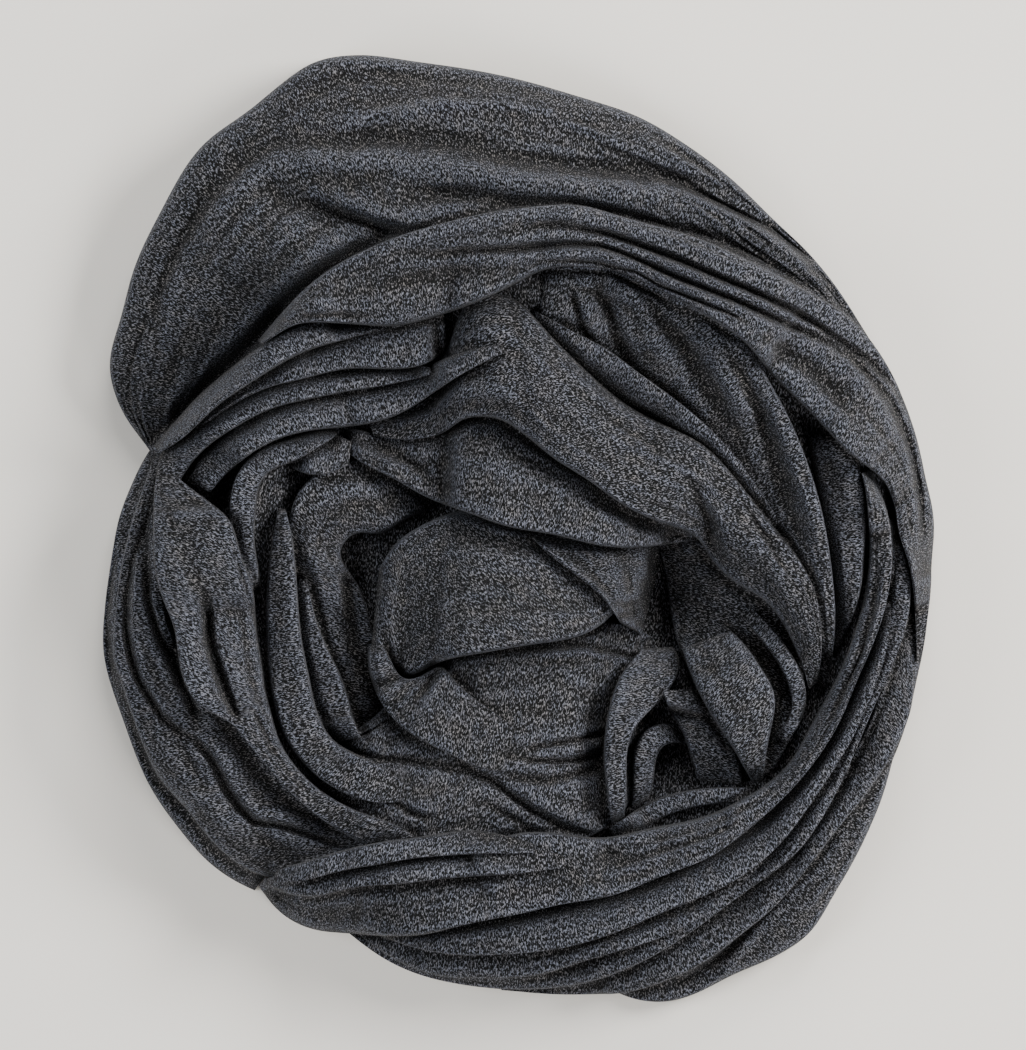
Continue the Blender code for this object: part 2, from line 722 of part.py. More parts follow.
def facet_samples(points):
    """Close samples on a grid of points: X, Y, and the lower and upper height of its facets.

    A quad of the grid may be split along either diagonal, so both heights are given.
    """
    length = np.linalg.norm(np.diff(points, axis=0), axis=2).max()
    width = np.linalg.norm(np.diff(points, axis=1), axis=2).max()
    along = np.linspace(0, 1, int(np.ceil(length / SAMPLE_STEP)) + 1)
    across = np.linspace(0, 1, int(np.ceil(width / SAMPLE_STEP)) + 1)
    first, second = points[:-1, :-1], points[1:, :-1]
    third, fourth = points[1:, 1:], points[:-1, 1:]
    for s in along:
        for t in across:
            spot = (1 - t) * ((1 - s) * first + s * second) + t * ((1 - s) * fourth + s * third)
            if s >= t:
                one = first + s * (second - first) + t * (third - second)
            else:
                one = first + t * (fourth - first) + s * (third - fourth)
            if s + t <= 1:
                other = first + s * (second - first) + t * (fourth - first)
            else:
                other = third + (1 - s) * (fourth - third) + (1 - t) * (second - third)
            low = np.minimum(one[..., 2], other[..., 2])
            high = np.maximum(one[..., 2], other[..., 2])
            yield spot[..., 0], spot[..., 1], low, high


def crease_relief(x, y, crease):
    """Height that a crease adds: a soft ridge, or a trough where its depth is below zero."""
    nearest = np.full(x.shape, np.inf)
    depth = np.zeros(x.shape)
    for start, end in zip(crease.points[:-1], crease.points[1:]):
        run_x = (end.x - start.x) * MILLIMETRE
        run_y = (end.y - start.y) * MILLIMETRE
        from_x = x - start.x * MILLIMETRE
        from_y = y - start.y * MILLIMETRE
        share = np.clip((from_x * run_x + from_y * run_y) / (run_x ** 2 + run_y ** 2), 0, 1)
        distance = np.hypot(from_x - share * run_x, from_y - share * run_y)
        closer = distance < nearest
        nearest = np.where(closer, distance, nearest)
        depth = np.where(closer, start.depth + share * (end.depth - start.depth), depth)
    return depth * MILLIMETRE * np.exp(-(nearest / (crease.width * MILLIMETRE)) ** 2)


def arch(across, cloth):
    """Height of a stretch over the line between its ends, from 0 at each end to 1 at the crest."""
    to_outer = np.clip((cloth.peak - across) / cloth.peak, 0, 1)
    to_inner = np.clip((across - cloth.peak) / (1 - cloth.peak), 0, 1)
    outer_side = (1 - to_outer ** cloth.outer_round) ** (1 / cloth.outer_round)
    inner_side = (1 - to_inner ** cloth.inner_round) ** (1 / cloth.inner_round)
    return np.where(across < cloth.peak, outer_side, inner_side)


def plan_of(cloth):
    """The plan of a stretch as a grid of points, with its rise and how far across each point lies."""
    rows = np.asarray(cloth.sections, dtype=float) * MILLIMETRE
    middles = 0.5 * (rows[:, 0:2] + rows[:, 2:4])
    steps = np.linalg.norm(np.diff(middles, axis=0), axis=1)
    knots = np.concatenate([[0.0], np.cumsum(steps)])
    count = max(LEAST_STATIONS, int(np.ceil(knots[-1] / STATION_STEP)) + 1)
    stations = np.linspace(0, knots[-1], count)
    columns = smooth_columns(rows, knots, stations)
    widest = np.hypot(rows[:, 2] - rows[:, 0], rows[:, 3] - rows[:, 1]).max()
    strips = int(np.clip(round(widest / ACROSS_STEP), LEAST_ACROSS, MOST_ACROSS))
    across = 0.5 - 0.5 * np.cos(np.linspace(0, np.pi, strips + 1))
    x = columns[:, 0:1] * (1 - across) + columns[:, 2:3] * across
    y = columns[:, 1:2] * (1 - across) + columns[:, 3:4] * across
    rise = np.clip(columns[:, 4:5], 0, None)
    return x, y, rise, across


def rested(points, pile):
    """A stretch's underside, lifted just clear of the pile, with the lift eased off around."""
    lift = np.zeros(points.shape[:2])
    for x, y, low, high in facet_samples(points):
        rest = pile.near_height(x, y)
        short = np.where(rest > 0, rest + LAYER_GAP, 0) - low
        for corner in (np.s_[:-1, :-1], np.s_[1:, :-1], np.s_[1:, 1:], np.s_[:-1, 1:]):
            lift[corner] = np.maximum(lift[corner], short)
    eased = blurred(blurred(lift, REST_REACH).T, REST_REACH).T
    points[..., 2] += np.maximum(lift, eased)
    return points


def facing_up(points):
    """How far each point of a surface faces up, from 0 on a steep side to 1 on a level."""
    along = np.gradient(points, axis=0)
    across = np.gradient(points, axis=1)
    normals = np.cross(along, across)
    return np.abs(normals[..., 2]) / np.maximum(np.linalg.norm(normals, axis=2), SMALLEST_LENGTH)


def laid(cloth, pile):
    """The underside and the top of a stretch laid on the pile, as two grids of points."""
    x, y, rise, across = plan_of(cloth)
    outer_rest = blurred(pile.height(x[:, 0], y[:, 0]), 1)[:, None]
    inner_rest = blurred(pile.height(x[:, -1], y[:, -1]), 1)[:, None]
    z = outer_rest * (1 - across) + inner_rest * across + rise * arch(across, cloth)
    for crease in cloth.creases:
        inside = np.minimum(1, CREASE_ONSET * arch(across, cloth) ** 2)
        z += crease_relief(x, y, crease) * inside
    underside = rested(np.stack([x, y, np.maximum(z, 0)], axis=2), pile)
    top = underside.copy()
    top[..., 2] += SCARF_WALL / np.maximum(facing_up(underside), STEEPEST_FACING)
    pile.add(top)
    return underside, top


def core_profile(edge):
    """Shares of the way out from the middle to the edge, with the height of the core at each."""
    shares = list(np.linspace(0, edge.bowl_share, BOWL_RINGS + 1)[1:])
    heights = [BOWL_FLOOR] * BOWL_RINGS
    for step in range(1, WALL_RINGS + 1):
        part = step / WALL_RINGS
        shares.append(edge.bowl_share + part * (edge.rim_share - edge.bowl_share))
        heights.append(BOWL_FLOOR + (edge.rim_height - BOWL_FLOOR) * part ** 2 * (3 - 2 * part))
    for step in range(1, FLANK_RINGS + 1):
        part = step / FLANK_RINGS
        fall = (1 - part ** FLANK_ROUNDNESS) ** (1 / FLANK_ROUNDNESS)
        swell = LAYER_SWELL * np.sin(2 * np.pi * EDGE_LAYERS * part)
        shares.append(edge.rim_share + part * (1 - edge.rim_share))
        heights.append(EDGE_HEIGHT + (edge.rim_height - EDGE_HEIGHT) * fall + swell)
    return np.array(shares), np.array(heights)


def core_surface():
    """The upper surface of the hidden layers: a ring of points for each share of the way out."""
    table = np.asarray(CORE_EDGE + CORE_EDGE[:1], dtype=float)
    steps = np.linalg.norm(np.diff(table[:, 0:2], axis=0), axis=1)
    knots = np.concatenate([[0.0], np.cumsum(steps)])
    lap = np.concatenate([table[-4:-1], table, table[1:4]])
    lap_knots = np.concatenate([knots[-4:-1] - knots[-1], knots, knots[1:4] + knots[-1]])
    places = np.linspace(0, knots[-1], CORE_BEARINGS + 1)[:-1]
    surface = []
    for row in smooth_columns(lap, lap_knots, places):
        edge = Edge(*row)
        shares, heights = core_profile(edge)
        x = NEST_MIDDLE[0] + shares * (edge.x - NEST_MIDDLE[0])
        y = NEST_MIDDLE[1] + shares * (edge.y - NEST_MIDDLE[1])
        surface.append(np.stack([x, y, heights], axis=1) * MILLIMETRE)
    return np.array(surface)


def jersey(name, tint):
    """The knitted cloth of one stretch."""
    material = bpy.data.materials.new(name + "_jersey")
    material.use_nodes = True
    shader = material.node_tree.nodes["Principled BSDF"]
    shader.inputs["Base Color"].default_value = (*tint, 1)
    shader.inputs["Roughness"].default_value = JERSEY_ROUGHNESS
    material.diffuse_color = (*tint, 1)
    return material


def add_object(name, tint, shape, collection):
    """Close a mesh's normals outwards and place it in the scene as one named object."""
    bmesh.ops.triangulate(shape, faces=shape.faces, quad_method="BEAUTY", ngon_method="EAR_CLIP")
    bmesh.ops.recalc_face_normals(shape, faces=shape.faces)
    mesh = bpy.data.meshes.new(name)
    shape.to_mesh(mesh)
    shape.free()
    mesh.materials.append(jersey(name, tint))
    mesh.shade_smooth()
    collection.objects.link(bpy.data.objects.new(name, mesh))


def middle_point():
    """The middle of the bowl's floor."""
    return MILLIMETRE * np.array([*NEST_MIDDLE, BOWL_FLOOR])


def build_hidden_layers(pile, collection):
    """The rounded solid that the hidden layers share, flat where it rests."""
    surface = core_surface()
    centre = middle_point()
    foot = centre + FOOT_SHARE * (surface[:, -1] - centre)
    foot[:, 2] = 0
    shape = bmesh.new()
    middle = shape.verts.new(centre)
    rings = [[shape.verts.new(point) for point in ring] for ring in surface.transpose(1, 0, 2)]
    rings.append([shape.verts.new(point) for point in foot])
    for at in range(CORE_BEARINGS):
        after = (at + 1) % CORE_BEARINGS
        shape.faces.new((middle, rings[0][at], rings[0][after]))
        for inner, outer in zip(rings[:-1], rings[1:]):
            shape.faces.new((inner[at], outer[at], outer[after], inner[after]))
    shape.faces.new(rings[-1])
    add_object("hidden_layers", DEEP, shape, collection)
    closed = np.concatenate([surface, surface[:1]])
    middle_line = np.broadcast_to(centre, closed[:, :1].shape)
    pile.add(np.concatenate([middle_line, closed], axis=1))


def grid_place(vert):
    """Where a vertex lies in its grid: how far along, then how far across."""
    return round(vert.co.x, PLACE_DIGITS), round(vert.co.y, PLACE_DIGITS)


def build_stretch(cloth, pile, collection):
    """One stretch: its underside as a grid, extruded up to its top as a closed wall."""
    underside, top = laid(cloth, pile)
    rows, columns = underside.shape[:2]
    shape = bmesh.new()
    bmesh.ops.create_grid(shape, x_segments=rows - 1, y_segments=columns - 1, size=1)
    shape.verts.ensure_lookup_table()
    places = sorted(shape.verts, key=grid_place)
    for vert, point in zip(places, underside.reshape(-1, 3)):
        vert.co = point
    order = {vert: at for at, vert in enumerate(places)}
    raised = bmesh.ops.extrude_face_region(shape, geom=shape.faces[:], use_keep_orig=True)
    new_verts = [item for item in raised["geom"] if isinstance(item, bmesh.types.BMVert)]
    below = {tuple(vert.co): at for vert, at in order.items()}
    heights = top.reshape(-1, 3)
    for vert in new_verts:
        vert.co = heights[below[tuple(vert.co)]]
    add_object(cloth.name, cloth.tint, shape, collection)


def main():
    for item in list(bpy.data.objects):
        bpy.data.objects.remove(item)
    collection = bpy.data.collections.new(COLLECTION_NAME)
    bpy.context.scene.collection.children.link(collection)
    pile = Pile()
    build_hidden_layers(pile, collection)
    for cloth in STRETCHES:
        build_stretch(cloth, pile, collection)


main()
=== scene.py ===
"""Looks of a hijab of heather jersey, wound on itself and dropped in a round nest.

The scarf is one long cloth. Each stretch of it that shows is a thin shell of knitted cloth, laid in
turn over the stretches below it, with its creases, tucks and drag wrinkles. The hidden layers are one
rounded form with its folded edges. Lengths in the tables are millimetres: X to the right, Y away, Z up.
"""

import zlib
from collections import namedtuple

import bmesh
import bpy
import numpy as np
from bpy.props import FloatProperty, FloatVectorProperty, PointerProperty
from bpy.types import Operator, Panel, PropertyGroup
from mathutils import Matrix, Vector


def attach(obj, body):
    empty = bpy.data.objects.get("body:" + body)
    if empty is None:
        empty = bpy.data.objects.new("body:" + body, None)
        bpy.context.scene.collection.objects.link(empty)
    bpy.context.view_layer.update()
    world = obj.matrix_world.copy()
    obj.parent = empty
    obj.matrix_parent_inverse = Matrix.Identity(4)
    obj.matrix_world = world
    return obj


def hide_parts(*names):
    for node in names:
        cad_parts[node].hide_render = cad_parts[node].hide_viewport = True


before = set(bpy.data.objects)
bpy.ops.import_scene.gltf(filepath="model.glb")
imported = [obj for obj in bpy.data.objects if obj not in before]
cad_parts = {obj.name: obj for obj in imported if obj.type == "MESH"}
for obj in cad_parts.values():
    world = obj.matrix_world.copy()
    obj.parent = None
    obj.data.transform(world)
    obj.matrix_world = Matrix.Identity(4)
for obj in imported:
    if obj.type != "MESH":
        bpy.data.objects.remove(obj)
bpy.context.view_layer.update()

bl_info = {
    "name": "Heaped hijab",
    "version": (1, 0, 0),
    "blender": (4, 5, 0),
    "location": "View3D > Sidebar > Hijab",
    "description": "Lays a jersey hijab in a round nest, stretch by stretch, with its floor and light",
    "category": "Object",
}

MILLIMETRE = 0.001

# The gap between layers, and the fewest points along and across a stretch
LAYER_GAP = 0.4 * MILLIMETRE
LEAST_STATIONS = 24
LEAST_ACROSS = 8

# How level a side counts at the least when its cloth gets its thickness, how soon creases and
# wrinkles have their full depth inside a rim, and the least length that anything is divided by
STEEPEST_FACING = 0.45
CREASE_ONSET = 4.0
SMALLEST_LENGTH = 1e-12

# Evening out: the weight of each neighbour in one pass, which spreads values by half a step squared
NEIGHBOUR_WEIGHT = 0.25
PASSES_FOR_A_STEP = 2

# The plan grid on which the height of the pile is kept, how densely cloth is laid on it, and how
# far round a point it is read
GRID_CELL = 0.6 * MILLIMETRE
GRID_HALF_WIDTH = 0.175
GRID_HALF_LENGTH = 0.200
SAMPLE_STEP = 0.5 * MILLIMETRE
NEAR_REACH = 0.35 * MILLIMETRE

# The hidden layers: the middle of the nest, the height of the bowl's floor and of the outer edge,
# how far the foot is drawn in, and the folded layers that swell along the outer side
NEST_MIDDLE = (-8.0, -35.0)
BOWL_FLOOR = 16.0
EDGE_HEIGHT = 7.0
FOOT_SHARE = 0.985
EDGE_LAYERS = 3
LAYER_SWELL = 1.6
FLANK_ROUNDNESS = 2.2

# Bearings round the hidden layers, rows of their table that lap past its two ends, and rings on the
# bowl's floor, up its wall and down the outside
CORE_BEARINGS = 220
LAP_ROWS = 3
BOWL_RINGS = 8
WALL_RINGS = 16
FLANK_RINGS = 48

# A stretch has a row for each section along it: where its two rims lie, and how high it rises
# between them. A crease has a width, a lip and a line of places, each with its depth.
Edge = namedtuple("Edge", "x y rim_share rim_height bowl_share")
Section = namedtuple("Section", "outer_x outer_y inner_x inner_y rise")
CreasePoint = namedtuple("CreasePoint", "x y depth")
Crease = namedtuple("Crease", "width lip points")
Stretch = namedtuple("Stretch", "name grain peak outer_round inner_round sections creases")

# Columns of the sections: the place of the outer rim, the place of the inner rim, and the rise
OUTER = slice(0, 2)
INNER = slice(2, 4)
RISE = slice(4, 5)

# Where the lip of a crease lies beside its line, and how wide it is, as shares of its width
LIP_PLACE = 1.7
LIP_SPREAD = 1.1

# The rims of a stretch sway a little, less where it is narrow, and its points crowd towards them
SWAY_WIDTH = 12 * MILLIMETRE
SWAY_REACH = 22 * MILLIMETRE
RIM_CROWDING = 0.6
EVEN_REACH = 4 * MILLIMETRE

# A rim rests on the highest cloth within a reach, and the cloth between the rims bridges what it
# can't follow, from a share of the way inside a rim
RIM_REACH = 3 * MILLIMETRE
RIM_SHARE = 0.12
BRIDGE_REACH = 4 * MILLIMETRE

# Near a rim the cloth thins to a share of its thickness, and further in where it melts into other cloth
RIM_BEND = 2 * MILLIMETRE
RIM_THINNING = 0.35
MELT_REACH = 8 * MILLIMETRE
MELT_THINNING = 0.1
FULL_CLOTH_RISE = 5 * MILLIMETRE

# The edge of a fold is partly a tight bend, but not where its side slopes gently
EDGE_SHARE = 0.72
EDGE_ROUNDNESS = 10
GENTLEST_EDGE = 1.5

# Cloth laid later presses down the cloth below it, in troughs beside its two rims: by a share of its
# rise and no more than the most. The width and the place of these troughs are in the tables' unit.
PRESS_SHARE = 0.28
PRESS_MOST = 3.2
PRESS_WIDTH = 2.4
PRESS_ASIDE = 1.0

# How deep all troughs together may press, how far out one still counts, as a share of its width, and
# how much height they leave the hidden layers
PRESS_LIMIT = 26 * MILLIMETRE
TROUGH_REACH = 2.6
LEAST_CORE_HEIGHT = 3 * MILLIMETRE

# Drag wrinkles: cloth for each one, half length, half width, height as a share and how far they
# slant; where they may lie across a stretch, and the least of their heights as a share
Wrinkles = namedtuple("Wrinkles", "area reach spread height slant")
BROAD_WRINKLES = Wrinkles(300 * MILLIMETRE ** 2, (8 * MILLIMETRE, 30 * MILLIMETRE),
                          (2.2 * MILLIMETRE, 5.0 * MILLIMETRE), 0.9, 0.16)
FINE_WRINKLES = Wrinkles(170 * MILLIMETRE ** 2, (10 * MILLIMETRE, 42 * MILLIMETRE),
                         (1.0 * MILLIMETRE, 1.9 * MILLIMETRE), 0.42, 0.10)
WRINKLE_PLACES = (0.08, 0.92)
LEAST_WRINKLE = 0.3

# The rise and the width of cloth from which wrinkles have their full height
FULL_RISE = 8 * MILLIMETRE
FULL_WIDTH = 26 * MILLIMETRE

# Random numbers start from the name of a stretch, within this range
SEED_RANGE = 2 ** 31

# How crests and creases are told from level cloth, for the painted highlight on crests and the painted shade
# in creases
CREST_REACH = 1.9 * MILLIMETRE
CREST_HEIGHT = 0.8 * MILLIMETRE

# The heather: a slub's size and effect as shares of a fleck's, the size of a mottled patch, how far
# patches change the tone, how far crests are lightened and creases darkened as painted highlight and
# painted shade, and the lightness that a tone gives as a power of a base
SLUB_WIDTH = 2.1
SLUB_LENGTH = 1.5
SLUB_SHARE = 0.5
PATCH_SIZE = (5 * MILLIMETRE, 8 * MILLIMETRE)
PATCH_TONE = 1.8
# How far crests are painted lighter and creases darker: painted highlight and painted shade
PAINTED_CREST_SHADING = 1.2
TONE_BASE = 2.718
DARKEST = 0.05
LIGHTEST = 80.0

# How warm the yarn is on level cloth, how far crests are painted cooler and creases warmer as a painted tint
# of cool light and warm shade, and how far patches change it
LEVEL_WARMTH = 0.45
# Crests painted cooler and creases warmer: a painted tint of light and shade
PAINTED_CREST_TINT = 0.35
PATCH_WARMTH = 1.5

# The knit stands out a little with its flecks
KNIT_RELIEF = 0.25 * MILLIMETRE
KNIT_RELIEF_SHARE = 0.5

# Edge of the hidden layers, to the left of the middle and on, clockwise: where the edge lies,
# how far out and how high the ring of the nest stands, and how far out the bowl's floor ends
CORE_EDGE = [
    Edge(-148, -35, 0.79, 46, 0.56),
    Edge(-138, 10, 0.78, 42, 0.54),
    Edge(-128, 60, 0.72, 34, 0.46),
    Edge(-136, 96, 0.64, 34, 0.40),
    Edge(-106, 142, 0.62, 38, 0.36),
    Edge(-58, 166, 0.66, 42, 0.32),
    Edge(0, 158, 0.70, 46, 0.30),
    Edge(56, 138, 0.76, 46, 0.30),
    Edge(104, 98, 0.84, 44, 0.36),
    Edge(136, 46, 0.88, 40, 0.46),
    Edge(145, -6, 0.87, 37, 0.52),
    Edge(143, -50, 0.88, 35, 0.58),
    Edge(124, -104, 0.86, 34, 0.58),
    Edge(92, -146, 0.78, 35, 0.52),
    Edge(40, -165, 0.76, 36, 0.48),
    Edge(-12, -164, 0.78, 38, 0.46),
    Edge(-66, -144, 0.78, 40, 0.48),
    Edge(-110, -118, 0.78, 44, 0.52),
    Edge(-138, -80, 0.79, 46, 0.55),
]


def crease(width, lip, points):
    """A crease from a line of places, each with its depth."""
    return Crease(width, lip, [CreasePoint(*point) for point in points])


# Gaps between folds, where the hidden layers lie deep
CREVICES = [
    crease(3.5, 0, [(-112, 26, 0), (-113, 16, -12), (-113.5, 6, -12), (-111, -4, -8), (-108, -14, 0)]),
    crease(4.5, 0, [(88, 66, 0), (96, 54, -8), (106, 42, -12), (113, 28, -12), (117, 10, -12),
                    (118.5, -8, -12), (119, -24, -12), (119.5, -40, -12), (118, -56, -9), (113, -70, -6),
                    (104, -84, 0)]),
    crease(3.0, 0, [(134, 20, 0), (132.5, 8, -8), (132, -8, -10), (131.5, -24, -10), (129, -38, -8),
                    (125, -50, 0)]),
    crease(4.0, 0, [(24, -124, 0), (32, -124.5, -5), (41, -122, 0)]),
    crease(5.0, 0, [(-64, -4, 0), (-62, -20, -8), (-61, -40, -8), (-59, -58, -8), (-54, -72, 0)]),
    crease(6.0, 0, [(-29, 84, 0), (-27, 76, -4), (-27, 70, -5), (-31, 64, -4), (-36, 61, 0)]),
    crease(9.0, 0, [(50, 0, 0), (54, -8, -12), (56, -20, -14), (57, -32, -14), (55, -44, -12),
                    (51, -54, 0)]),
    crease(16.0, 0, [(68, -4, 0), (76, -16, -11), (84, -30, -12), (91, -44, -11), (96, -58, -7),
                     (98, -74, 0)]),
]


def stretch(name, grain, shape, sections, creases=()):
    """One stretch of cloth.

    Grain is how many degrees its flecks are turned from straight across it. Shape is the place of
    its crest across it, and how round its outer and its inner side are.
    """
    peak, outer_round, inner_round = shape
    rows = [Section(*row) for row in sections]
    lines = [crease(*row) for row in creases]
    return Stretch(name, grain, peak, outer_round, inner_round, rows, lines)


# Shapes: a side of no roundness melts into the cloth beside it
MELTS = 0
ROLL = (0.5, 2.2, 2.2)
STEP_OUT = (0.25, 2.5, 1.3)
STEP_IN = (0.68, 1.3, 2.3)
SHEET = (0.5, 1.8, 1.8)
POUCH = (0.42, 2.4, 1.7)

# Stretches inside the nest that lie lowest
NEST_BED = [
    stretch("nest_back", 20, SHEET, [
        (-68, -86, -50, -80, 1),
        (-76, -74, -52, -68, 3),
        (-82, -56, -53, -52, 4),
        (-85, -38, -56, -36, 5),
        (-87, -20, -60, -22, 6),
        (-88, -2, -68, -10, 8),
        (-84, 14, -62, -2, 9),
        (-70, 24, -52, -3, 9),
        (-54, 26, -45, 2, 8),
        (-38, 22, -36, 6, 4),
        (-28, 18, -28, 9, 1),
    ], creases=[
        (3.5, 0, [(-84, 6, 0), (-72, 13, 4), (-62, 15, 4), (-50, 10, 0)]),
        (4.0, 0, [(-80, 0, 0), (-77, -12, 4), (-72, -26, 3), (-70, -36, 0)]),
        (3.2, 0, [(-66, -6, 0), (-66, -22, -5), (-64, -40, -6), (-61, -56, -4), (-58, -66, 0)]),
        (3.0, 0, [(-62, 4, 0), (-52, 2, 2.5), (-42, 6, 2.5), (-36, 10, 0)]),
        (2.5, 0, [(-58, 0, 0), (-48, -3, -3), (-38, 2, 0)]),
    ]),
    stretch("nest_right", 0, SHEET, [
        (50, 0, 84, -6, 1),
        (54, -12, 100, -18, 3),
        (57, -26, 106, -36, 4),
        (60, -40, 108, -52, 5),
        (64, -54, 107, -66, 5),
        (72, -70, 103, -80, 5),
        (82, -86, 98, -91, 3),
        (88, -95, 95, -97, 1),
    ]),
    stretch("nest_floor", -8, SHEET, [
        (-82, -93, -72, -82, 2),
        (-68, -104, -58, -74, 7),
        (-51, -115, -46, -62, 12),
        (-36, -120, -30, -46, 15),
        (-18, -119, -14, -38, 17),
        (0, -118, 2, -36, 17),
        (16, -119, 18, -34, 15),
        (30, -116, 34, -34, 12),
        (40, -108, 46, -38, 8),
        (47, -100, 54, -44, 2),
    ], creases=[
        (7.0, 0, [(2, -84, 0), (14, -88, -4), (26, -90, -6), (36, -88, -6)]),
        (9.0, 0, [(-14, -42, 0), (0, -47, -4), (20, -46, -5), (38, -44, -6)]),
        (2.4, 1.8, [(-26, -83, 0), (-20, -90, -5), (-12, -95, -7), (5, -107, -7), (15, -112, -6),
            (30, -117, 0)]),
        (2.4, 1.2, [(-76, -79, 0), (-62, -86.5, -5), (-44, -88, -4), (-30, -90, -4), (-14, -96, 0)]),
        (1.6, -1.2, [(-2, -85, 0), (6, -83.5, -4), (18, -81, -5), (32, -78.5, -4)]),
        (1.8, -1.0, [(-8, -86, 0), (4, -88, -5), (16, -89, -6), (30, -86.5, -5)]),
        (2.6, 0, [(-16, -92, 0), (0, -95, -4), (12, -96, -5), (28, -92, -4)]),
        (2.2, 0, [(-23, -60, 0), (-21.5, -69, 3), (-16, -76, 3.5), (-5, -80, 3), (6, -80, 0)]),
        (1.5, -2.0, [(6, -46.5, 0), (14, -45.5, -4), (26, -45, -4), (43, -49, -3)]),
        (6.0, 0, [(24, -54, 0), (29, -64, -5), (30, -78, -8), (29, -92, -8), (27, -106, -4), (26, -114, 0)]),
        (2.2, 0, [(12, -50, 0), (18, -56, 2.5), (27, -60.5, 2), (35, -63, 0)]),
        (2.0, 0, [(-62, -72, 0), (-54, -78, 2.5), (-46, -79, 0)]),
        (2.0, 1.0, [(-68, -90, 0), (-60, -97, -4), (-50, -103, -5), (-40, -108, -4), (-30, -112, 0)]),
        (2.2, 0, [(-18, -102, 0), (-8, -107, -4), (2, -112, -4), (12, -117, 0)]),
    ]),
]

